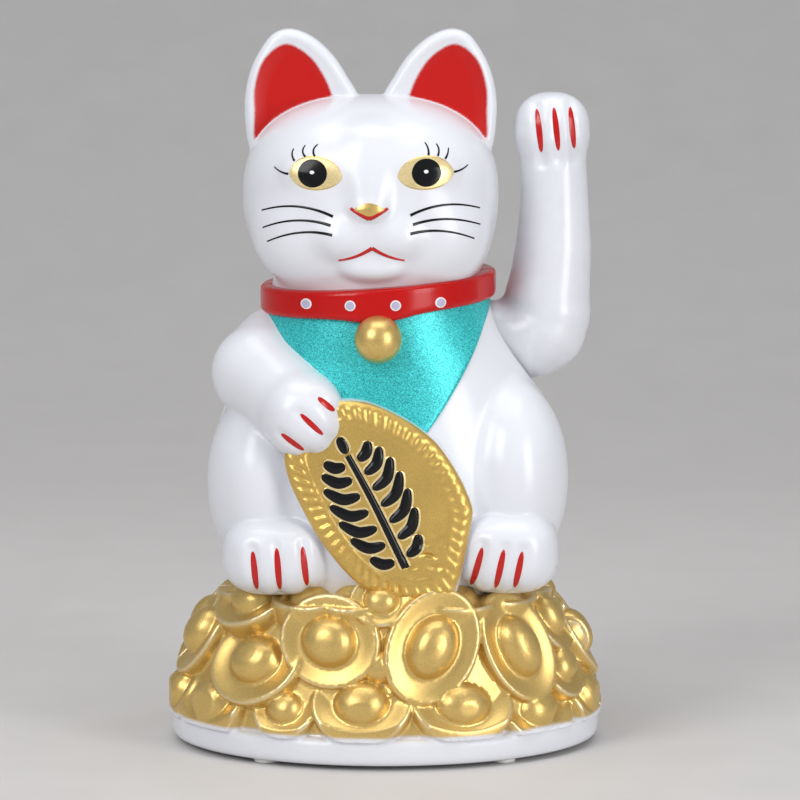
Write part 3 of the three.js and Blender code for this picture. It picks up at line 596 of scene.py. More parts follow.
# ---------------------------------------------------------------- the shells
# The rear screws' x and z, and the y where each one's boss meets the front wall.
SHELL_SCREWS = [(-24, 104, -26), (-24, 60, -35), (HEAD[0], 152, -34)]
COVER_SCREWS = [(-49, -13.5), (49, -13.5), (-49, 13.5), (49, 13.5)]
PILOT_RADIUS = 1.45  # the hole that a screw's thread bites in
TUNNEL_RADIUS = 2.8  # the recess that lets a screw's head in from the rear
TUNNEL_FLOOR = 2.1
TUNNEL_WALL = 1.1
TUNNEL_ENDS = (50, 60)  # where its tube and its hole stop, past the rear wall
PILOT_ENDS = (-17, 10)
BOSS_OUTSIDE = 3.6
TUBE_INSET = 0.4  # how far tunnels and bosses stay under the outer surface

ARM_HOLE_RADIUS = 12.2
ARM_HOLE_FLARE = 3.2
ARM_HOLE_X = (26, 70)
ARM_HOLE_REACH = 16
FLARE_X = 38  # where the flare starts
FLARE_LENGTH = 8


def arm_opening():
    """A round hole in the side that flares out to clear the elbow."""

    def distance(x, y, z):
        flare = np.clip((x - FLARE_X) / FLARE_LENGTH, 0, 1) * ARM_HOLE_FLARE
        side = np.sqrt((y - PIVOT_Y) ** 2 + (z - PIVOT_Z) ** 2) - ARM_HOLE_RADIUS - flare
        return np.maximum(side, ARM_HOLE_X[0] - x)

    low = (ARM_HOLE_X[0], PIVOT_Y - ARM_HOLE_REACH, PIVOT_Z - ARM_HOLE_REACH)
    high = (ARM_HOLE_X[1], PIVOT_Y + ARM_HOLE_REACH, PIVOT_Z + ARM_HOLE_REACH)
    return Shape(distance, low, high)


def hollowed(field, core):
    """Cuts out what lies deeper than the wall inside a core."""
    field.values = np.maximum(field.values, -(core.values + WALL))
    return field


def screw_tubes(field, outside):
    """Rear screw tunnels and front bosses, trimmed to the outside."""
    tubes = field.blank()
    for x, z, front in SHELL_SCREWS:
        tunnel_outside = TUNNEL_RADIUS + TUNNEL_WALL
        tubes.add(cylinder("y", (x, z), tunnel_outside, PARTING_Y - 0.1, TUNNEL_ENDS[0]))
        tubes.add(cylinder("y", (x, z), BOSS_OUTSIDE, front, PARTING_Y + 0.1))
    tubes.values = np.maximum(tubes.values, outside.values + TUBE_INSET)
    field.values = np.minimum(field.values, tubes.values)
    for x, z, _ in SHELL_SCREWS:
        field.cut(cylinder("y", (x, z), TUNNEL_RADIUS, TUNNEL_FLOOR, TUNNEL_ENDS[1]))
        field.cut(cylinder("y", (x, z), PILOT_RADIUS, *PILOT_ENDS))
    return field


def halves(field, parting=PARTING_Y):
    """The front and rear of a field, parted by the seam."""
    front, rear = field.copy(), field.copy()
    front.limit(lambda x, y, z: y - (parting - SEAM))
    rear.limit(lambda x, y, z: (parting + SEAM) - y)
    return front, rear


# ---------------------------------------------------------------- meshes
SHARP_FROM = math.radians(42)
CAD_SHARP_FROM = math.radians(35)


def mesh_piece(name, points, faces, look, slot="painted_shell", nodes=(), body="housing"):
    """A piece from points in millimetres and faces with equal numbers of corners."""
    mesh = bpy.data.meshes.new(name)
    faces = np.ascontiguousarray(faces, np.int32)
    count, corners = faces.shape
    mesh.vertices.add(len(points))
    mesh.vertices.foreach_set("co", (np.asarray(points) * MM).astype(np.float32).ravel())
    mesh.loops.add(count * corners)
    mesh.loops.foreach_set("vertex_index", faces.ravel())
    mesh.polygons.add(count)
    mesh.polygons.foreach_set("loop_start", np.arange(count, dtype=np.int32) * corners)
    mesh.update(calc_edges=True)
    mesh.validate()
    mesh.set_sharp_from_angle(angle=SHARP_FROM)
    mesh.materials.append(MATERIAL[look])
    piece = bpy.data.objects.new(name, mesh)
    bpy.context.scene.collection.objects.link(piece)
    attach(piece, body)
    if nodes:
        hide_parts(*nodes)
    return piece


def field_piece(name, field, *finish, **more):
    """A piece from a field's surface. The rest is as for mesh_piece."""
    points, quads = field.surface()
    return mesh_piece(name, points, quads, *finish, **more)


def paint_weights(piece, name, weights):
    """A paint's strength at each vertex, for its material to read."""
    attribute = piece.data.attributes.new(name, "FLOAT", "POINT")
    attribute.data.foreach_set("value", np.asarray(weights, np.float32))


def vertex_points(piece):
    """A piece's vertices, in millimetres."""
    points = np.zeros(len(piece.data.vertices) * 3, np.float32)
    piece.data.vertices.foreach_get("co", points)
    return points.reshape(-1, 3).astype(float) / MM


def ramp(value, low, high):
    """Nothing below low, one above high, and a smooth rise between."""
    t = np.clip((value - low) / (high - low), 0, 1)
    return t * t * (3 - 2 * t)


def skin_of(piece):
    """What paint lands on: a search tree over a piece's faces, in millimetres."""
    corners = np.zeros(len(piece.data.loops), np.int32)
    piece.data.loops.foreach_get("vertex_index", corners)
    return BVHTree.FromPolygons(vertex_points(piece).tolist(), corners.reshape(-1, 4).tolist())


def arc(points, count):
    """An even curve through three points."""
    p = np.array(points, float)
    lengths = np.linalg.norm(np.diff(p, axis=0), axis=1)
    middle = lengths[0] / lengths.sum()
    t = np.linspace(0, 1, count)[:, None]
    first = (t - middle) * (t - 1) / middle
    second = t * (t - 1) / (middle * (middle - 1))
    last = t * (t - middle) / (1 - middle)
    return p[0] * first + p[1] * second + p[2] * last


ACROSS = np.array([-1, -0.93, -0.6, -0.3, 0, 0.3, 0.6, 0.93, 1])  # where a stroke is sampled
FLAT_CROWN = 0.9  # how much of its height a flat spot of paint keeps at its edge
ROUND_CROWN = 0.25
SPOT_STEPS = 25
STROKE_DIP = 0.12
STROKE_DEPTH = 0.35


def stroke(skin, line, half_widths, lift, crown=ROUND_CROWN):
    """A raised stroke of paint on a skin, as points and faces.

    line holds x and z seen from the front. The edges dip under the surface, so it never floats.
    """
    line = np.asarray(line, float)
    tangent = np.gradient(line, axis=0)
    tangent /= np.maximum(np.linalg.norm(tangent, axis=1), 1e-9)[:, None]
    side = np.stack([-tangent[:, 1], tangent[:, 0]], axis=1)
    widths = np.broadcast_to(half_widths, len(line))
    top, bottom = [], []
    direction = Vector((0, 1, 0))
    for centre, across, width in zip(line, side, widths):
        for share in ACROSS:
            x, z = centre + across * width * share
            start = Vector((x, 0, z)) - direction * 150
            place, normal, _, _ = skin.ray_cast(start, direction)
            if place is None:
                place, normal, _, _ = skin.find_nearest(Vector((x, -30, z)))
            if normal.dot(direction) > 0:
                normal = -normal
            height = lift * (1 - (1 - crown) * share**2) if abs(share) < 1 else -STROKE_DIP
            top.append(place + normal * height)
            bottom.append(place - normal * STROKE_DEPTH)
    rows, columns = len(line), len(ACROSS)
    points = np.array([tuple(p) for p in top + bottom])
    faces = []
    offset = rows * columns
    for i in range(rows - 1):
        for j in range(columns - 1):
            a, b = i * columns + j, i * columns + j + 1
            c, d = b + columns, a + columns
            faces.append((a, b, c, d))
            faces.append((d + offset, c + offset, b + offset, a + offset))
    for i in range(rows - 1):
        for j, turn in ((0, 1), (columns - 1, -1)):
            a, d = i * columns + j, (i + 1) * columns + j
            faces.append((a, d, d + offset, a + offset)[::turn])
    for j in range(columns - 1):
        for i, turn in ((0, -1), (rows - 1, 1)):
            a, b = i * columns + j, i * columns + j + 1
            faces.append((a, b, b + offset, a + offset)[::turn])
    faces = np.array(faces)
    corner = points[faces]
    middle = points.mean(axis=0)
    normals = np.cross(corner[:, 1] - corner[:, 0], corner[:, 2] - corner[:, 0])
    volume = (normals * (corner[:, 0] - middle)).sum()
    return points, faces if volume > 0 else faces[:, ::-1]


def strokes_piece(name, strokes, *finish, **more):
    """One piece from several strokes of the same paint."""
    points, faces, start = [], [], 0
    for own, own_faces in strokes:
        points.append(own)
        faces.append(own_faces + start)
        start += len(own)
    return mesh_piece(name, np.concatenate(points), np.concatenate(faces), *finish, **more)


def spindle(count, width, blunt=0.5):
    """Half widths of a stroke that is pointed at both ends."""
    t = np.linspace(-1, 1, count)
    return width * np.maximum(1 - t**2, 0.002) ** blunt


def taper(count, start, end):
    """Half widths of a stroke that thins from its start to its end."""
    return start + (end - start) * np.linspace(0, 1, count)


def spot(skin, x, z, radius_x, radius_z, lift):
    """A round or oval spot of paint."""
    t = np.cos(np.linspace(math.pi, 0, SPOT_STEPS))
    line = np.stack([x + radius_x * t, np.full(SPOT_STEPS, z)], axis=1)
    widths = radius_z * np.sqrt(np.maximum(1 - t**2, 0.0004))
    return stroke(skin, line, widths, lift, FLAT_CROWN)


TURNED_SIDES = 48
TURNS = {  # for each way an upright shape can point: the order and the signs of its axes
    "z": ([0, 1, 2], [1, 1, 1]),
    "-z": ([0, 1, 2], [1, -1, -1]),
    "y": ([0, 2, 1], [1, 1, -1]),
    "-y": ([0, 2, 1], [1, -1, 1]),
}


def laid(points, axis):
    """Turns an upright shape to point another way."""
    order, signs = TURNS[axis]
    return points[:, order] * signs


def ring_faces(rings):
    """Four-sided faces from each ring of corners to the next."""
    after = np.roll(rings, -1, axis=1)
    return np.stack([rings[:-1], after[:-1], after[1:], rings[1:]], axis=-1).reshape(-1, 4)


def turned_piece(name, profile, centre, axis, *finish):
    """A lathe piece. Its profile is radius and height pairs from the bottom of the axis."""
    angles = np.linspace(0, 2 * math.pi, TURNED_SIDES, endpoint=False)
    ring = np.stack([np.cos(angles), np.sin(angles)], axis=1)
    points = []
    for radius, height in profile:
        points.append(np.column_stack([ring * max(radius, 1e-3), np.full(TURNED_SIDES, height)]))
    points = laid(np.concatenate(points), axis) + np.array(centre)
    faces = ring_faces(np.arange(len(points)).reshape(-1, TURNED_SIDES))
    return mesh_piece(name, points, faces, *finish)


# ---------------------------------------------------------------- materials
# Noise and flake scales, in cells to the metre.
GRAIN = 300.0
PAINT_GRAIN = 500.0
ORANGE_PEEL = 1800.0
SPRAY_EDGE = 2500.0
FLAKES = 5200.0


class Look:
    """A procedural material and the nodes it is wired from."""

    def __init__(self, name):
        self.material = bpy.data.materials.new(name)
        self.material.use_nodes = True
        self.tree = self.material.node_tree
        self.shader = self.tree.nodes["Principled BSDF"]
        self.place = self.node("ShaderNodeTexCoord", "Object", {})

    def feed(self, node, inputs):
        """Sets a node's inputs, each to a constant, a colour or another node's output."""
        for name, value in inputs.items():
            socket = node.inputs[name]
            if isinstance(value, bpy.types.NodeSocket):
                self.tree.links.new(value, socket)
            else:
                socket.default_value = (*value, 1) if isinstance(value, tuple) else value

    def node(self, kind, output, inputs, **options):
        """The output of a new node."""
        node = self.tree.nodes.new(kind)
        for name, value in options.items():
            setattr(node, name, value)
        self.feed(node, inputs)
        return node.outputs[output]

    def shade(self, inputs):
        self.feed(self.shader, inputs)

    def noise(self, scale, detail=2.0):
        inputs = {"Vector": self.place, "Scale": scale, "Detail": detail}
        return self.node("ShaderNodeTexNoise", "Fac", inputs)

    def spread(self, source, low, high):
        """Noise turned into a range of values."""
        inputs = {"Value": source, "From Min": 0.3, "From Max": 0.7, "To Min": low, "To Max": high}
        return self.node("ShaderNodeMapRange", "Result", inputs)

    def mix_colours(self, factor, first, second):
        inputs = {"Factor": factor, 6: first, 7: second}
        return self.node("ShaderNodeMix", 2, inputs, data_type="RGBA")

    def mix_values(self, factor, first, second):
        inputs = {"Factor": factor, 2: first, 3: second}
        return self.node("ShaderNodeMix", 0, inputs, data_type="FLOAT")

    def weight(self, name):
        """A paint's strength, from what its piece's vertices hold."""
        return self.node("ShaderNodeAttribute", "Fac", {}, attribute_name=name)

    def bump(self, height, distance, strength):
        inputs = {"Height": height, "Distance": distance, "Strength": strength}
        self.shade({"Normal": self.node("ShaderNodeBump", "Normal", inputs)})


def solid_paint(name, colour, rough, metallic=0.0, spread=0.05, scale=GRAIN, bump=0.0, shine=0.5):
    """One even colour whose gloss varies a little."""
    look = Look(name)
    grain = look.noise(scale)
    darker = tuple(0.93 * c for c in colour)
    gloss = look.spread(grain, rough - spread / 2, rough + spread / 2)
    look.shade({"Base Color": look.mix_colours(grain, darker, colour), "Roughness": gloss})
    look.shade({"Metallic": metallic, "Specular IOR Level": shine})
    if bump:
        look.bump(grain, bump * MM, 0.5)
    return look.material


WHITE = (0.72, 0.73, 0.77)
GOLD = (0.69, 0.48, 0.16)
KOBAN_GOLD = (0.66, 0.44, 0.12)
# Paler gold for convex edges: partly wear, partly a painted highlight.
WORN_AND_SHEEN_GOLD = (0.84, 0.7, 0.42)
RED = (0.5, 0.004, 0.002)
COLLAR_RED = (0.52, 0.004, 0.003)
TEAL = (0.004, 0.49, 0.5)
BLACK = (0.006, 0.006, 0.007)


def metallic_flake(look, colour, sparkle):
    """Metallic paint: colour with fine bright and dark flakes."""
    cells = look.node("ShaderNodeTexVoronoi", "Color", {"Vector": look.place, "Scale": FLAKES})
    brightness = look.node("ShaderNodeSeparateColor", "Red", {"Color": cells})
    dark = tuple((1 - sparkle) * c for c in colour)
    light = tuple(min(1.0, (1 + sparkle) * c + 0.3 * sparkle**2) for c in colour)
    return look.mix_colours(brightness, dark, light)


def flake_paint(name, colour, rough, metallic, sparkle):
    """Metallic paint all over, with a fine orange peel."""
    look = Look(name)
    gloss = look.spread(look.noise(PAINT_GRAIN), rough - 0.04, rough + 0.04)
    look.shade({"Base Color": metallic_flake(look, colour, sparkle), "Roughness": gloss})
    look.shade({"Metallic": metallic})
    look.bump(look.noise(ORANGE_PEEL), 0.02 * MM, 0.25)
    return look.material


def sprayed_plastic(name, paint, paint_name, paint_rough, paint_metallic, wear_and_sheen_paint=None):
    """White plastic with paint sprayed where the paint's weights say, with a soft edge."""
    look = Look(name)
    inputs = {0: look.noise(SPRAY_EDGE, 1.0), 1: 0.3, 2: look.weight(paint_name)}
    wobble = look.node("ShaderNodeMath", "Value", inputs, operation="MULTIPLY_ADD")
    inputs = {"Value": wobble, "From Min": 0.3, "From Max": 1.0}
    cover = look.node("ShaderNodeMapRange", "Result", inputs, interpolation_type="SMOOTHSTEP")
    colour = paint
    # Paler paint where the edge weight is high: partly wear, partly a painted highlight.
    if wear_and_sheen_paint:
        flakes = metallic_flake(look, paint, 0.1)
        colour = look.mix_colours(look.weight("wear_and_sheen"), flakes, wear_and_sheen_paint)
    plain = look.spread(look.noise(GRAIN), 0.19, 0.25)
    gloss = look.mix_values(cover, plain, paint_rough)
    look.shade({"Base Color": look.mix_colours(cover, WHITE, colour), "Roughness": gloss})
    look.shade({"Specular IOR Level": 0.36})
    if paint_metallic:
        look.shade({"Metallic": look.mix_values(cover, 0.0, paint_metallic)})
    return look.material


def wound_copper(name):
    """Turns of fine wire, as bands across the coil."""
    look = Look(name)
    inputs = {"Vector": look.place, "Scale": 700.0, "Distortion": 0.6}
    bands = look.node("ShaderNodeTexWave", "Fac", inputs, bands_direction="Z")
    colour = look.mix_colours(bands, (0.3, 0.08, 0.03), (0.75, 0.3, 0.14))
    look.shade({"Base Color": colour, "Metallic": 0.9, "Roughness": 0.3})
    look.bump(bands, 0.1 * MM, 0.8)
    return look.material


def cell_jacket(name):
    """A battery's wrapper: dark, with a copper band at its positive end."""
    look = Look(name)
    grain = look.noise(GRAIN)
    dark = look.mix_colours(grain, (0.016, 0.02, 0.024), (0.024, 0.03, 0.036))
    colour = look.mix_colours(look.weight("band"), dark, (0.55, 0.26, 0.08))
    look.shade({"Base Color": colour, "Roughness": look.spread(grain, 0.24, 0.32), "Metallic": 0.4})
    return look.material


MATERIAL = {
    "white": solid_paint("white_plastic", WHITE, 0.22, shine=0.4),
    "heap": sprayed_plastic("gold_on_white", GOLD, "gold", 0.35, 0.75, WORN_AND_SHEEN_GOLD),
    "koban": sprayed_plastic("koban_gold", KOBAN_GOLD, "gold", 0.36, 0.75, WORN_AND_SHEEN_GOLD),
    "cat": sprayed_plastic("red_on_white", RED, "red", 0.34, 0.0),
    "gold": flake_paint("gold_paint", GOLD, 0.35, 0.75, 0.12),
    "pale_gold": flake_paint("pale_gold_paint", (0.84, 0.67, 0.34), 0.35, 0.6, 0.12),
    "teal": flake_paint("teal_paint", TEAL, 0.4, 0.35, 0.5),
    "red": solid_paint("red_paint", RED, 0.22),
    "collar": solid_paint("collar_paint", COLLAR_RED, 0.2, shine=0.3),
    "black": solid_paint("black_paint", BLACK, 0.16, shine=0.25),
    "lavender": solid_paint("lavender_paint", (0.47, 0.45, 0.6), 0.35),
    "paint_white": solid_paint("white_paint", (0.85, 0.85, 0.86), 0.3),
    "pad": solid_paint("pad_rubber", (0.72, 0.72, 0.68), 0.5, 0.0, 0.1, 600, 0.02),
    "steel": solid_paint("screw_steel", (0.55, 0.55, 0.56), 0.3, 1.0, 0.1),
    "weight": solid_paint("turned_steel", (0.45, 0.46, 0.47), 0.38, 1.0, 0.15, 900),
    "magnet": solid_paint("magnet_nickel", (0.62, 0.62, 0.63), 0.18, 1.0, 0.06),
    "grey": solid_paint("grey_plastic", (0.45, 0.46, 0.48), 0.45, 0.0, 0.1),
    "dark": solid_paint("dark_plastic", (0.02, 0.02, 0.022), 0.4, 0.0, 0.1),
    "board": solid_paint("board_green", (0.03, 0.16, 0.06), 0.4, 0.0, 0.1, 700),
    "sleeve": solid_paint("capacitor_blue", (0.03, 0.05, 0.12), 0.25),
    "nickel": solid_paint("contact_nickel", (0.66, 0.65, 0.62), 0.25, 1.0, 0.1),
    "red_wire": solid_paint("red_insulation", (0.5, 0.015, 0.012), 0.4),
    "black_wire": solid_paint("black_insulation", (0.012, 0.012, 0.012), 0.4),
    "copper": wound_copper("copper_winding"),
    "jacket": cell_jacket("cell_wrapper"),
}


# ---------------------------------------------------------------- build the cat
CAT_BOX = ((-53, -50, 40), (53, 47, 201))
cat = cat_core(Field(*CAT_BOX))
core = heap_core(cat.copy())
face(cat)
toe_grooves(cat, FOOT_CLAWS, FEET_GROOVES_FROM)
toe_grooves(cat, HELD_CLAWS, PAW_GROOVES_FROM, 0.7)
outside = cat.copy()
hollowed(cat, core)
cat.cut(arm_opening(), 0.4)
screw_tubes(cat, outside)
front_part, rear_part = halves(cat)
cat_front = field_piece("cat_front", front_part, "cat", "painted_shell", ["front_shell"])
field_piece("cat_rear", rear_part, "white", "white_plastic", ["rear_shell"])


def ear_paint(piece):
    """Red on the front of each ear, softening at its edge."""
    points = vertex_points(piece)
    x, y, z = points.T
    outline = smooth_line(EAR_RED, 4, closed=True)
    weight = np.zeros(len(points))
    ear_front = HEAD[1] - EAR_THICKNESS / 2
    for side in (-1, 1):
        near = (z > 164) & (y < HEAD[1] - 1) & (y > ear_front - 1)
        flat = outline_distance(outline, side * (x[near] - HEAD[0]), z[near])
        head = ball(HEAD, HEAD_RADII, HEAD_POWER).distance(x[near], y[near], z[near])
        cover = ramp(-flat, -1.0, 0.9) * ramp(head, 0.0, 0.7)
        weight[near] = np.maximum(weight[near], cover)
    paint_weights(piece, "red", weight)


ear_paint(cat_front)

# ---------------------------------------------------------------- build the heap
HEAP_BOX = ((-63, -52, 0), (63, 52, 50))
FILLER = ((-0.2, -38.2, 41), 4.6, (-0.4, -38.8, 26), 4.6)  # between the two foremost ingots
COVER_SEAT = [(z, 57.6, 46.6, 0, 0) for z in (-2, 6.5)]  # the room that the base cover sits in
BOSS = {"start": 5.9, "end": 17}
BOSS_RADIUS = 3.2
RIB_HALF = 0.8
RIB_REACH = 54.5


def build_heap():
    """The ingots on their core and rim, hollow, with the bosses of the cover's screws."""
    heap = heap_core(Field(*HEAP_BOX))
    inside = heap.copy()
    for row in INGOTS:
        heap.add(ingot(*row), 0.25)
    heap.add(limb(*FILLER), 0.5)
    heap.cut(brick((-99, -99, -9), (99, 99, RIM_TOP - 0.6)), 0.6)
    heap.add(oval_stack(RIM, 2.2), 0.6)
    wide, deep = HALF_WIDTH + 1, HALF_DEPTH + 1
    heap.limit(lambda x, y, z: np.sqrt((x / wide) ** 2 + (y / deep) ** 2) * 50 - 50)
    inside.values += WALL
    inside.add(oval_stack(COVER_SEAT))
    cat_low = cat_core(Field(*HEAP_BOX))
    inside.values = np.minimum(inside.values, cat_low.values + WALL)
    heap.values = np.maximum(heap.values, -inside.values)
    heap.limit(lambda x, y, z: PAD_HEIGHT - z + 0 * x)
    for x, y in COVER_SCREWS:
        reach = math.copysign(RIB_REACH, x)
        heap.add(cylinder("z", (x, y), BOSS_RADIUS, **BOSS))
        low = (min(x, reach), y - RIB_HALF, BOSS["start"])
        heap.add(brick(low, (max(x, reach), y + RIB_HALF, BOSS["end"])))
        heap.cut(cylinder("z", (x, y), PILOT_RADIUS, 0, 15))
    return heap


def heap_paint(piece, field):
    """Gold on the ingots, white on the base rim, paler on their edges: partly wear, partly painted
    highlight.
    """
    points = vertex_points(piece)
    x, y, z = points.T
    away = np.sqrt((x / HALF_WIDTH) ** 2 + (y / HALF_DEPTH) ** 2)
    weight = ramp(z, RIM_TOP - 0.4, RIM_TOP + 2.0) * ramp(away, 0.6, 0.72)
    weight = np.maximum(weight, ramp(z, 34, 36) * ramp(away, 0.2, 0.3))
    paint_weights(piece, "gold", weight)
    # Paler gold on convex edges, found from the field's bend: partly wear, partly a painted
    # highlight.
    reach = 1.1
    bend = -6 * field.sample(points)[0]
    for axis in np.eye(3):
        bend += field.sample(points + axis * reach)[0] + field.sample(points - axis * reach)[0]
    paint_weights(piece, "wear_and_sheen", ramp(bend / reach**2, 0.45, 1.3))


for end, part in zip(("front", "rear"), halves(build_heap())):
    heap_piece = field_piece(f"heap_{end}", part, "heap", "painted_shell", [f"{end}_shell"])
    heap_paint(heap_piece, part)

# ---------------------------------------------------------------- the arm
# Height, half width, half depth and middle x of the raised forearm.
ARM = [
    (119, 11.9, 11.9, 45.5),
    (125, 11.9, 11.7, 45.4),
    (131, 11.2, 11.1, 46.2),
    (138, 10.6, 10.5, 46.9),
    (147, 9.8, 9.8, 47.2),
    (155, 9.35, 9.5, 47.2),
    (163, 9.3, 9.5, 46.8),
    (170, 9.7, 10.2, 46.6),
]
ARM_ELBOW = [(41.4, PIVOT_Y, 112.3), (44.0, PIVOT_Y, 115.4), (45.5, PIVOT_Y, 119.4)]
ARM_ELBOW_RADII = (10.6, 12.1, 11.9)
RAISED_PAW = ((46.5, PIVOT_Y, 171.4), (10.5, 10.6, 10.2))
STUB_RADIUS = 10.4
PEG_HALF = 3.8


def build_arm():
    """The raised arm, hollow down to the stub that takes the lever's square peg."""
    field = Field((26, PIVOT_Y - 16, 98), (60, PIVOT_Y + 15, 184))
    field.add(oval_stack([(*row, PIVOT_Y) for row in ARM], 2))
    field.add(ball(*RAISED_PAW, 2.3), 2)
    for i in (0, 1):
        ends = ARM_ELBOW[i], ARM_ELBOW_RADII[i], ARM_ELBOW[i + 1], ARM_ELBOW_RADII[i + 1]
        field.add(limb(*ends), 0.6)
    inner = field.copy()
    pivot = (PIVOT_Y, PIVOT_Z)
    field.add(cylinder("x", pivot, STUB_RADIUS, ARM_INNER_X, 39), 3)
    toe_grooves(field, RAISED_CLAWS, PIVOT_Y - 2, 0.8)
    hollowed(field, inner)
    field.add(cylinder("x", pivot, STUB_RADIUS, ARM_INNER_X, 40))
    low = (ARM_INNER_X - 2, PIVOT_Y - PEG_HALF, PIVOT_Z - PEG_HALF)
    field.cut(brick(low, (38, PIVOT_Y + PEG_HALF, PIVOT_Z + PEG_HALF)))
    finish = {"look": "white", "slot": "white_plastic", "body": "beckoning_arm"}
    return [
        field_piece(f"arm_{end}", part, nodes=[f"arm_{end}_half"], **finish)
        for end, part in zip(("front", "rear"), halves(field, PIVOT_Y))
    ]


arm_front, _ = build_arm()

# ---------------------------------------------------------------- collar, bell and bib
COLLAR_BOX = ((-38, -40, 114), (35, 35, 140))
COLLAR_CENTRE = (-1.9, -1.0, 127.0)
COLLAR_RADII = (32.2, 33.6)
COLLAR_HALF_HEIGHT = 3.8
COLLAR_HALF_THICKNESS = 3.6
COLLAR_ROUNDING = 1.3
COLLAR_MEAN_RADIUS = 33
COLLAR_INSET = 3.0  # from its outline to the middle of its thickness
COLLAR_DIP = 1.9  # how much deeper it hangs at the bell
COLLAR_DIP_WIDTH = 9.0
COLLAR_TILT = math.tan(math.radians(3.9))
COLLAR_PITCH = 0.02


def collar_field():
    """A leather band on a slope, deeper where the bell hangs."""
    field = Field(*COLLAR_BOX, min(FINE, 0.6))

    def distance(x, y, z):
        px, py = x - COLLAR_CENTRE[0], y - COLLAR_CENTRE[1]
        size = np.maximum(np.sqrt((px / COLLAR_RADII[0]) ** 2 + (py / COLLAR_RADII[1]) ** 2), 1e-3)
        side = (size - 1) * COLLAR_MEAN_RADIUS
        middle = COLLAR_CENTRE[2] + COLLAR_TILT * px + COLLAR_PITCH * py
        front = ramp(-py, 15, 30)
        dip = COLLAR_DIP * front * np.exp(-(((x - BELL[0]) / COLLAR_DIP_WIDTH) ** 2))
        height = np.abs(z - middle + dip / 2) - (COLLAR_HALF_HEIGHT + dip / 2)
        band = np.abs(side + COLLAR_INSET) - COLLAR_HALF_THICKNESS
        return rounded_corner(height, band, COLLAR_ROUNDING)

    field.add(Shape(distance, *COLLAR_BOX))
    return field


collar_front, _ = (
    field_piece(f"collar_{end}", part, "collar")
    for end, part in zip(("front", "rear"), halves(collar_field()))
)

BELL_REACH = 9
BELL_STEP = 0.3
bell_field = Field(np.array(BELL) - BELL_REACH, np.array(BELL) + BELL_REACH, BELL_STEP)
bell_field.add(ball(BELL, BELL_RADIUS))
field_piece("bell", bell_field, "gold")

BIB = [
    (-37.5, 124), (-31, 112), (-20, 99), (-11, 86), (-5, 79), (2, 80), (11.6, 90.8), (18, 100),
    (23.8, 110.2), (27.6, 119), (29.6, 126), (22, 127.5), (-30, 125.5),
]


def bib_piece():
    """A thin raised panel of the front moulding, painted teal."""
    torso = Field((-42, -48, 74), (34, -4, 134))
    torso.add(oval_stack(TORSO, 2))
    x, y, z = torso.points()
    flat = outline_distance(smooth_line(BIB, 3, closed=True), x[:, :, 0], z[0])
    sides = flat[:, None, :] + 0 * y
    slab = np.abs(torso.values + 0.2) - 0.9
    torso.values = soft_max(slab, sides, 0.9).astype(np.float32)
    torso.limit(lambda x, y, z: y - (PARTING_Y - SEAM) + 0 * z)
    field_piece("bib", torso, "teal")


bib_piece()

# ---------------------------------------------------------------- the koban
tip = math.radians(KOBAN_TIP_BACK)
koban_place = Placed(KOBAN, (0, -math.cos(tip), math.sin(tip)))
KOBAN_REACH = (31, 14, 34)
KOBAN_FACE = 3.0  # how far its face stands out
KOBAN_BACK = -8.0
KOBAN_RIM = 5.6
KOBAN_DOME = 0.0016
PLEAT_PITCH = 3.3
HAMMER_PITCH = 3
HAMMER_DEPTH = 1.2


def koban_field():
    """An oval coin: pleats round its edge, a sunk field, and hammer marks low on its right."""
    centre = np.array(KOBAN)
    low, high = centre - KOBAN_REACH, centre + KOBAN_REACH
    field = Field(low, high, min(FINE, 0.5))
    outline = smooth_line(np.array(KOBAN_OUTLINE) - (KOBAN[0], KOBAN[2]), 6, closed=True)
    steps = np.linalg.norm(np.roll(outline, -1, axis=0) - outline, axis=1)
    pleats_round = round(steps.sum() / PLEAT_PITCH)
    travel = (np.cumsum(steps) - steps[0]) / steps.sum()
    bearing = np.mod(np.arctan2(outline[:, 1], outline[:, 0]), 2 * math.pi)
    order = np.argsort(bearing)
    known, travel = bearing[order], travel[order]

    def distance(x, y, z):
        u, v, w = koban_place.local(x, y, z)
        edge = outline_distance(outline, u, v)
        around = np.mod(np.arctan2(v, u), 2 * math.pi)
        share = np.interp(around, known, travel, period=2 * math.pi)
        pleat = 0.5 + 0.5 * np.cos(2 * math.pi * pleats_round * share)
        left = ramp(-u - 0.35 * v, -2, 6)
        inner_end = ramp(edge, -KOBAN_RIM, 2.2 - 1.4 * left - KOBAN_RIM)
        outer_end = 1 - ramp(edge, -2.2, -1.0)
        dents = (0.45 + 0.3 * left) * pleat**1.3 * inner_end * outer_end
        bevel = 1.3 * ramp(edge, -2.4, 0)
        sunk = (0.15 + 0.3 * left) * (1 - ramp(edge, -KOBAN_RIM - 1.0, -KOBAN_RIM))
        waves = 0.22 * np.sin(0.34 * u + 0.7) * np.sin(0.27 * v - 0.5)
        dome = KOBAN_DOME * (u**2 + v**2)
        rows = 0.5 + 0.5 * np.cos(2 * math.pi * (v + 0.3 * np.sin(0.9 * u)) / HAMMER_PITCH)
        breaks = 0.5 + 0.5 * np.sin(0.8 * u + 1.9 * np.round(v / HAMMER_PITCH))
        where = np.exp(-(((u - 12) / 7) ** 2) - ((v + 15) / 6.5) ** 2)
        hammered = HAMMER_DEPTH * rows**2 * breaks * where
        top = w - (KOBAN_FACE + waves - dome - bevel - sunk - dents - hammered)
        return soft_max(np.maximum(edge, KOBAN_BACK - w), top * 0.85, 0.8)

    field.add(Shape(distance, low, high))
    return field


koban = field_piece("koban", koban_field(), "koban")
koban_height = koban_place.local(*vertex_points(koban).T)[2]
paint_weights(koban, "gold", ramp(koban_height, -1.2, 1.2))  # it thins to white down the wall
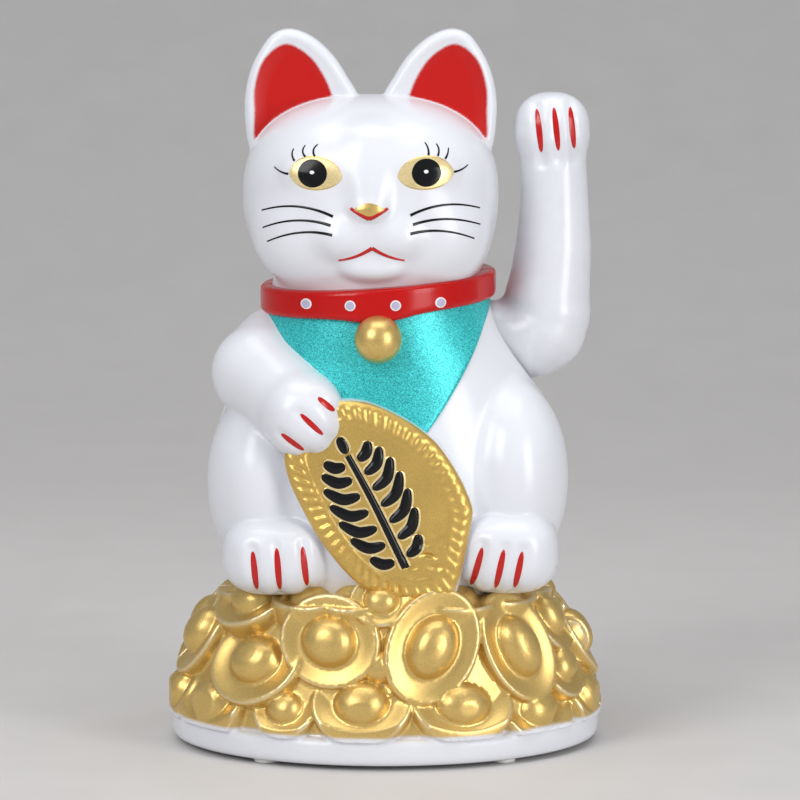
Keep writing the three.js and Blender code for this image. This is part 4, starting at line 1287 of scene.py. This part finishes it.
# No paler edges on the coin: its weight for wear and painted highlight is zero.
paint_weights(koban, "wear_and_sheen", 0 * koban_height)
koban_skin = skin_of(koban)

SPRIG_MIDDLE = (-1.4, -0.8)
SPRIG_LEAN = math.radians(27)
SPRIG_STEM = [(0.0, -19.5), (0.4, 0.0), (0.0, 15.0)]
SPRIG_BUD = [(0.0, 15.6), (0.0, 18.0), (0.0, 20.6)]
# Where each pair of leaves starts on the stem, and its length.
SPRIG_LEAVES = [(-16.6, 6.4), (-11.2, 9.2), (-6.2, 10.0), (-1.2, 10.2), (3.8, 9.6), (8.6, 8.0)]
SPRIG_LEAVES += [(12.8, 5.6)]
LEAF_GAP = 1.9
LEAF_STEPS = 24
OUTLINE_WIDTH = 0.55


def sprig():
    """The coin's ornament: a stem with paired leaves, as lines and half widths in its face."""
    leaves = [(SPRIG_STEM, taper(LEAF_STEPS, 1.2, 0.9))]
    for height, length in SPRIG_LEAVES:
        for side in (-1, 1):
            shares = ((0, 0), (0.5, 0.12), (0.86, 0.6))
            leaf = [(side * (LEAF_GAP + out * length), height + up * length) for out, up in shares]
            leaves.append((leaf, spindle(LEAF_STEPS, 1.65, 0.45)))
    leaves.append((SPRIG_BUD, spindle(LEAF_STEPS, 1.5, 0.5)))
    c, s = math.cos(SPRIG_LEAN), math.sin(SPRIG_LEAN)
    turned = []
    for points, widths in leaves:
        flat = np.array(points)
        u = SPRIG_MIDDLE[0] + flat[:, 0] * c - flat[:, 1] * s
        v = SPRIG_MIDDLE[1] + flat[:, 0] * s + flat[:, 1] * c
        turned.append((np.stack([u, v], axis=1), widths))
    return turned


def koban_ornament():
    """The sprig in black relief, on a slightly wider pale line."""
    black, pale = [], []
    for points, widths in sprig():
        line = smooth_line(points, 12)
        count = len(line)
        widths = np.interp(np.linspace(0, 1, count), np.linspace(0, 1, LEAF_STEPS), widths)
        seen = np.array([koban_place.world(u, v, 2.0) for u, v in line])[:, [0, 2]]
        pale.append(stroke(koban_skin, seen, widths + OUTLINE_WIDTH, 0.3))
        black.append(stroke(koban_skin, seen, widths, 0.8))
    strokes_piece("koban_outline", pale, "pale_gold")
    strokes_piece("koban_sprig", black, "black")


koban_ornament()

# ---------------------------------------------------------------- the painted face
EYE_MIDDLES = [(-19.4, 161.4), (11.3, 161.6)]
EYES = [
    [(-25.7, 161.3), (-19.0, 161.5), (-11.4, 160.5)],
    [(3.6, 160.6), (11.3, 161.6), (18.7, 161.6)],
]
WHISKERS = [
    [(-13.9, 149.9), (-26.6, 152.4), (-33.4, 150.9)],
    [(-14.5, 147.5), (-24.7, 148.6), (-33.1, 146.3)],
    [(-14.1, 145.0), (-22.9, 145.4), (-31.9, 142.6)],
    [(7.0, 150.2), (18.6, 152.9), (25.9, 151.5)], [(7.7, 147.7), (17.4, 149.0), (26.0, 147.1)],
    [(7.0, 145.3), (15.9, 145.8), (24.4, 143.4)],
]
LASHES = [
    [(-24.3, 164.7), (-25.0, 166.2), (-24.6, 167.8)],
    [(-21.4, 165.8), (-22.1, 167.3), (-21.4, 168.8)],
    [(-18.8, 165.9), (-19.2, 167.5), (-18.0, 169.1)],
    [(-26.0, 161.2), (-28.0, 161.6), (-29.9, 162.8)],
    [(11.9, 166.2), (11.8, 167.9), (10.9, 169.6)], [(14.4, 166.0), (14.7, 167.6), (14.0, 169.2)],
    [(16.4, 165.2), (17.1, 166.5), (17.3, 168.0)], [(18.8, 161.7), (20.7, 162.1), (22.6, 163.3)],
]
MOUTH = [
    [(-3.3, 141.4), (-7.5, 139.2), (-12.4, 138.0)], [(-3.3, 141.4), (0.9, 139.2), (5.4, 138.0)],
]
NOSTRIL_LINE = [(4.9, 152.2), (2.5, 150.8), (0, 149.6)]  # red under the nose: how far out, and z
EYE_HALF_HEIGHTS = (4.75, 4.4)  # rim and iris
EYE_LIFTS = (0.10, 0.20, 0.34, 0.45)  # rim, iris, pupil and glint, each on the last
PUPIL_RADII = (3.9, 3.95)
GLINT_RADII = (0.6, 0.5)
STUD_RADII = (1.45, 1.5)
STUD_MIDDLE_RADII = (1.1, 1.15)
STUDS = [(-21.3, 125.6), (-9.3, 125.6), (3.0, 125.7), (15.2, 126.1)]


def almond(line, height):
    """Half widths of an eye: full in the middle and thin at the corners."""
    t = np.linspace(-1, 1, len(line))
    return height * (1 - np.abs(t) ** 2.2) ** 0.85 + 0.02


def thin_lines(skin, lines, steps, start, end, lift):
    """Curves through three points that thin from start to end."""
    widths = taper(steps, start, end)
    return [stroke(skin, arc(points, steps), widths, lift) for points in lines]


def painted_eyes(skin):
    rims, irises, pupils, glints = [], [], [], []
    rim, iris, pupil, glint = EYE_LIFTS
    for corner_line, (x, z) in zip(EYES, EYE_MIDDLES):
        line = smooth_line(corner_line, 14)
        rims.append(stroke(skin, line, almond(line, EYE_HALF_HEIGHTS[0]), rim, FLAT_CROWN))
        irises.append(stroke(skin, line, almond(line, EYE_HALF_HEIGHTS[1]), iris, FLAT_CROWN))
        pupils.append(spot(skin, x, z, *PUPIL_RADII, pupil))
        glints.append(spot(skin, x - 0.1, z + 0.3, *GLINT_RADII, glint))
    strokes_piece("eye_rims", rims, "gold")
    strokes_piece("eye_irises", irises, "pale_gold")
    strokes_piece("eye_pupils", pupils, "black")
    strokes_piece("eye_glints", glints, "paint_white")


def painted_lines(skin):
    black = thin_lines(skin, WHISKERS, 29, 0.42, 0.2, 0.14)
    black += thin_lines(skin, LASHES, 13, 0.34, 0.16, 0.14)
    strokes_piece("whiskers_and_lashes", black, "black")
    nose = arc([(NOSE_X - 3.9, 151.9), (NOSE_X, 152.0), (NOSE_X + 3.9, 151.9)], 21)
    t = np.linspace(-1, 1, len(nose))
    widths = 1.75 * (1 - np.abs(t) ** 1.8) + 0.05
    strokes_piece("nose", [stroke(skin, nose, widths, 0.3, 0.8)], "gold")
    nostrils = [[(NOSE_X + side * out, z) for out, z in NOSTRIL_LINE] for side in (-1, 1)]
    red = thin_lines(skin, nostrils, 17, 0.42, 0.74, 0.36)
    red += thin_lines(skin, MOUTH, 21, 0.56, 0.26, 0.24)
    strokes_piece("mouth", red, "red")


def claws(name, lines, skin, width, *finish):
    strokes = []
    for points in lines:
        line = smooth_line(points, 20)
        strokes.append(stroke(skin, line, spindle(len(line), width, 0.55), 0.25))
    strokes_piece(name, strokes, "red", *finish)


def collar_studs(skin):
    rings = [spot(skin, *place, *STUD_RADII, 0.2) for place in STUDS]
    middles = [spot(skin, *place, *STUD_MIDDLE_RADII, 0.32) for place in STUDS]
    strokes_piece("collar_spots", rings, "paint_white")
    strokes_piece("collar_spot_middles", middles, "lavender")


cat_skin = skin_of(cat_front)
painted_eyes(cat_skin)
painted_lines(cat_skin)
claws("foot_claws", FOOT_CLAWS, cat_skin, 0.92)
claws("held_claws", HELD_CLAWS, cat_skin, 0.8)
claws("raised_claws", RAISED_CLAWS, skin_of(arm_front), 0.86, "white_plastic", (), "beckoning_arm")
collar_studs(skin_of(collar_front))

# ---------------------------------------------------------------- the base
COVER_TOP = PAD_HEIGHT + 2.2
COVER_INSET = 2.8
BOX = {"x0": -35.6, "x1": -5.4, "y": 27.8, "top": 18.2, "wall": 1.6}
BOX_UNDERSIDE = 2.4
CELL_X = (-28, -13)
SWITCH_SLOT = ((18.8, 30, -1), (25.2, 32, 5))
WELL_OUTSIDE = 4.2  # the cup that each cover screw's head is sunk in
WELL_RADIUS = 3.1
WELL_HEIGHTS = (3.6, 5.6)  # its floor and its top
SCREW_HOLE = 1.6
TERMINAL_HALF = 3  # of the notches in the battery box that the terminals pass through
DOOR_GAP = 0.3
DOOR_THICKNESS = 1.8
GRIP_LINES = 5
PAD_PROFILE = [(0, 0), (2.7, 0), (3.2, 0.2), (3.4, 0.6), (3.4, PAD_HEIGHT), (0, PAD_HEIGHT)]


def base_cover():
    """The bottom plate with the battery box in it, screw wells and the switch's slot."""
    field = Field((-59, -48, 0), (59, 48, 21))
    half = (HALF_WIDTH - COVER_INSET, HALF_DEPTH - COVER_INSET)
    field.add(oval_stack([(z, *half, 0, 0) for z in (PAD_HEIGHT, COVER_TOP)], 0.6))
    x0, x1, y, top, wall = BOX.values()
    low = (x0 - wall, -y - wall, BOX_UNDERSIDE)
    field.add(brick(low, (x1 + wall, y + wall, top + wall), 1.5))
    for place in COVER_SCREWS:
        field.add(cylinder("z", place, WELL_OUTSIDE, BOX_UNDERSIDE, WELL_HEIGHTS[1]))
    field.cut(brick((x0, -y, -2), (x1, y, top), 0.8))
    for x in CELL_X:
        low = (x - TERMINAL_HALF, y - 1.2, top - 1)
        field.cut(brick(low, (x + TERMINAL_HALF, y, top + 3), 0.1))
    for place in COVER_SCREWS:
        field.cut(cylinder("z", place, WELL_RADIUS, -1, WELL_HEIGHTS[0]))
        field.cut(cylinder("z", place, SCREW_HOLE, -1, 8))
    field.cut(brick(*SWITCH_SLOT, 0.3))
    field_piece("base_plate", field, "white", "white_plastic", ["base_cover"])


def battery_door():
    """A flat door with a snap and shrinking grip lines at its front end."""
    field = Field((-37, -30, 0), (-4, 30, 8), min(FINE, 0.5))
    x0, x1, y = BOX["x0"] + DOOR_GAP, BOX["x1"] - DOOR_GAP, BOX["y"]
    middle = (x0 + x1) / 2
    high = (x1, y - 2 * DOOR_GAP, PAD_HEIGHT + DOOR_THICKNESS)
    field.add(brick((x0, -y + DOOR_GAP, PAD_HEIGHT), high, 0.5))
    snap = (middle - 2.5, -y + DOOR_GAP, 2.2), (middle + 2.5, -y + 1.5, 6.5)
    field.add(brick(*snap, 0.3))
    for i in range(GRIP_LINES):
        line = -y + 4 + 2 * i
        start, end = (middle - 6 + i, line, 0.9), (middle + 6 - i, line, 0.9)
        field.cut(limb(start, 0.75, end, 0.75), 0.3)
    field_piece("door", field, "white", "white_plastic", ["battery_door"], "battery_door")


base_cover()
battery_door()
for number, (corner, place) in enumerate(PAD_PLACES.items(), 1):
    centre = (place[0], place[1], 0)
    turned_piece(f"pad_{number}", PAD_PROFILE, centre, "z", "pad", "foot_rubber", [corner])


CROSS_HALF = (0.32, 1.25)
CROSS_DEPTH = 1.1


def cross_screw(name, profile, centre, axis, node):
    """A screw whose head has a cross recess. Its profile runs from the tip to the head."""
    rows = np.array(profile, float)
    reach = rows[:, 0].max() + 0.6
    low = (-reach, -reach, rows[0, 1] - 0.6)
    high = (reach, reach, rows[-1, 1] + 0.6)
    field = Field(low, high, 0.16)

    def distance(x, y, z):
        away = np.sqrt(x**2 + y**2)
        return outline_distance(rows, away + 0 * z, z + 0 * away)

    field.add(Shape(distance, low, high))
    top = rows[-1, 1]
    for wide, deep in (CROSS_HALF, CROSS_HALF[::-1]):
        field.cut(brick((-wide, -deep, top - CROSS_DEPTH), (wide, deep, top + 1), 0.1))
    points, quads = field.surface()
    points = laid(points, axis)
    mesh_piece(name, points + centre, quads, "steel", "screw_steel", [node])


COVER_SCREW = [(0, -14), (0.9, -13.2), (1.15, -12), (1.15, -3.6), (2.7, -3.4), (2.7, -2.5)]
COVER_SCREW += [(2.2, -2.0), (0, -1.9)]
SHELL_SCREW = [(0, -15.5), (0.7, -15), (1.1, -14), (1.1, 2.2), (2.3, 2.3), (2.3, 3.4), (1.7, 4)]
SHELL_SCREW += [(0, 4.1)]
for number, (x, y) in enumerate(COVER_SCREWS, 1):
    cross_screw(f"base_screw_{number}", COVER_SCREW, (x, y, 0), "-z", f"cover_screw_{number}")
for number, (x, z, _) in enumerate(SHELL_SCREWS, 1):
    cross_screw(f"back_screw_{number}", SHELL_SCREW, (x, 0, z), "y", f"shell_screw_{number}")

BAND_FROM = 38.0  # how far up a cell its copper band begins
CELL_Z = 10.6
CELL = [(0, 0), (6.4, 0), (6.9, 0.2), (7.1, 0.7), (7.1, BAND_FROM - 0.1), (7.1, BAND_FROM + 0.1)]
CELL += [(7.1, 48.6), (6.9, 49.1), (6.4, 49.3), (2.8, 49.3), (2.7, 49.6), (2.7, 50.2)]
CELL += [(2.4, 50.5), (0, 50.5)]


def battery_cell(number, x, axis, way):
    centre = (x, way * (BOX["y"] - 1 - CELL[-1][1]), CELL_Z)
    finish = "jacket", "cell_jacket", [f"battery_cell_{number}"]
    cell = turned_piece(f"cell_{number}", CELL, centre, axis, *finish)
    heights = np.repeat([height for _, height in CELL], TURNED_SIDES)
    paint_weights(cell, "band", heights > BAND_FROM)


battery_cell(1, CELL_X[0], "y", 1)
battery_cell(2, CELL_X[1], "-y", -1)

CAD_LOOKS = {
    "steel": ["bracket_screw_1", "bracket_screw_2", "board_screw_1", "board_screw_2", "pivot_pin"],
    "weight": ["counterweight", "switch_body"],
    "magnet": ["drive_magnet"],
    "grey": ["pivot_bracket", "pendulum_lever"],
    "dark": ["coil_bobbin", "driver_chip", "drive_transistor", "switch_knob"],
    "copper": ["coil_winding", "coil_wire_start", "coil_wire_finish"],
    "board": ["circuit_board"],
    "sleeve": ["timing_capacitor"],
    "nickel": ["contact_spring_1", "contact_spring_2", "contact_bridge", "terminal_positive"]
    + ["terminal_negative"],
    "red_wire": ["battery_wire_red"],
    "black_wire": ["battery_wire_black", "switch_wire_black"],
}
for look, names in CAD_LOOKS.items():
    for name in names:
        mesh = frame["nodes"][name].data
        mesh.materials.clear()
        mesh.materials.append(MATERIAL[look])
        mesh.set_sharp_from_angle(angle=CAD_SHARP_FROM)


# ---------------------------------------------------------------- floor, lights and camera
# In metres, except the camera's place and aim.
FLOOR_FRONT = -1.6
FLOOR_BEND = 0.5  # where the floor starts to rise into the backdrop
FLOOR_RISE = 1.2
FLOOR_TOP = 3.5
FLOOR_SIDE = 3.0
FLOOR_STEPS = 12
LIGHTS = {  # place, width and height, power
    "key": ((-0.65, -0.85, 0.75), (0.5, 0.7), 6.6),
    "fill": ((0.82, -0.82, 0.34), (0.4, 0.8), 6.6),
    "top": ((0, -0.1, 1.1), (0.9, 0.6), 4.6),
}
LIGHTS_AIM = (0, 0, 0.1)
CAMERA_PLACE = (4.2, -1140, 238.5)
CAMERA_AIM = (4.2, 0, 95.6)
CAMERA_LENS = 184.6
SKY = (0.9, 0.93, 1.0, 1)
SKY_STRENGTH = 0.4


def add_floor():
    """A pale sheet that curves up behind the cat."""
    mesh = bpy.data.meshes.new("floor")
    rows = [(FLOOR_FRONT, 0.0), (FLOOR_BEND, 0.0)]
    for i in range(1, FLOOR_STEPS + 1):
        angle = math.pi / 2 * i / FLOOR_STEPS
        away = FLOOR_BEND + FLOOR_RISE * math.sin(angle)
        rows.append((away, FLOOR_RISE * (1 - math.cos(angle))))
    rows.append((FLOOR_BEND + FLOOR_RISE, FLOOR_TOP))
    points = [(x, y, z) for y, z in rows for x in (-FLOOR_SIDE, FLOOR_SIDE)]
    faces = [(2 * i, 2 * i + 1, 2 * i + 3, 2 * i + 2) for i in range(len(rows) - 1)]
    mesh.from_pydata(points, [], faces)
    for polygon in mesh.polygons:
        polygon.use_smooth = True
    floor = bpy.data.objects.new("floor", mesh)
    bpy.context.scene.collection.objects.link(floor)
    mesh.materials.append(solid_paint("floor_pale", (0.66, 0.64, 0.62), 0.55, 0.0, 0.1, 40))


def aimed(name, data, place, aim):
    """An object that looks from its place to where it aims."""
    made = bpy.data.objects.new(name, data)
    made.location = place
    made.rotation_euler = (Vector(aim) - Vector(place)).to_track_quat("-Z", "Y").to_euler()
    bpy.context.scene.collection.objects.link(made)
    return made


def add_light(name, place, size, power):
    data = bpy.data.lights.new(name, "AREA")
    data.shape = "RECTANGLE"
    data.size, data.size_y = size
    data.energy = power
    aimed(name, data, place, LIGHTS_AIM)


def add_camera():
    data = bpy.data.cameras.new("camera")
    data.sensor_width = 36
    data.lens = CAMERA_LENS
    camera = aimed("camera", data, Vector(CAMERA_PLACE) * MM, Vector(CAMERA_AIM) * MM)
    bpy.context.scene.camera = camera


def add_world():
    world = bpy.data.worlds.new("studio")
    world.use_nodes = True
    background = world.node_tree.nodes["Background"]
    background.inputs["Color"].default_value = SKY
    background.inputs["Strength"].default_value = SKY_STRENGTH
    bpy.context.scene.world = world


add_floor()
add_world()
for light_name, light in LIGHTS.items():
    add_light(light_name, *light)
add_camera()
bpy.context.scene.view_settings.view_transform = "Standard"
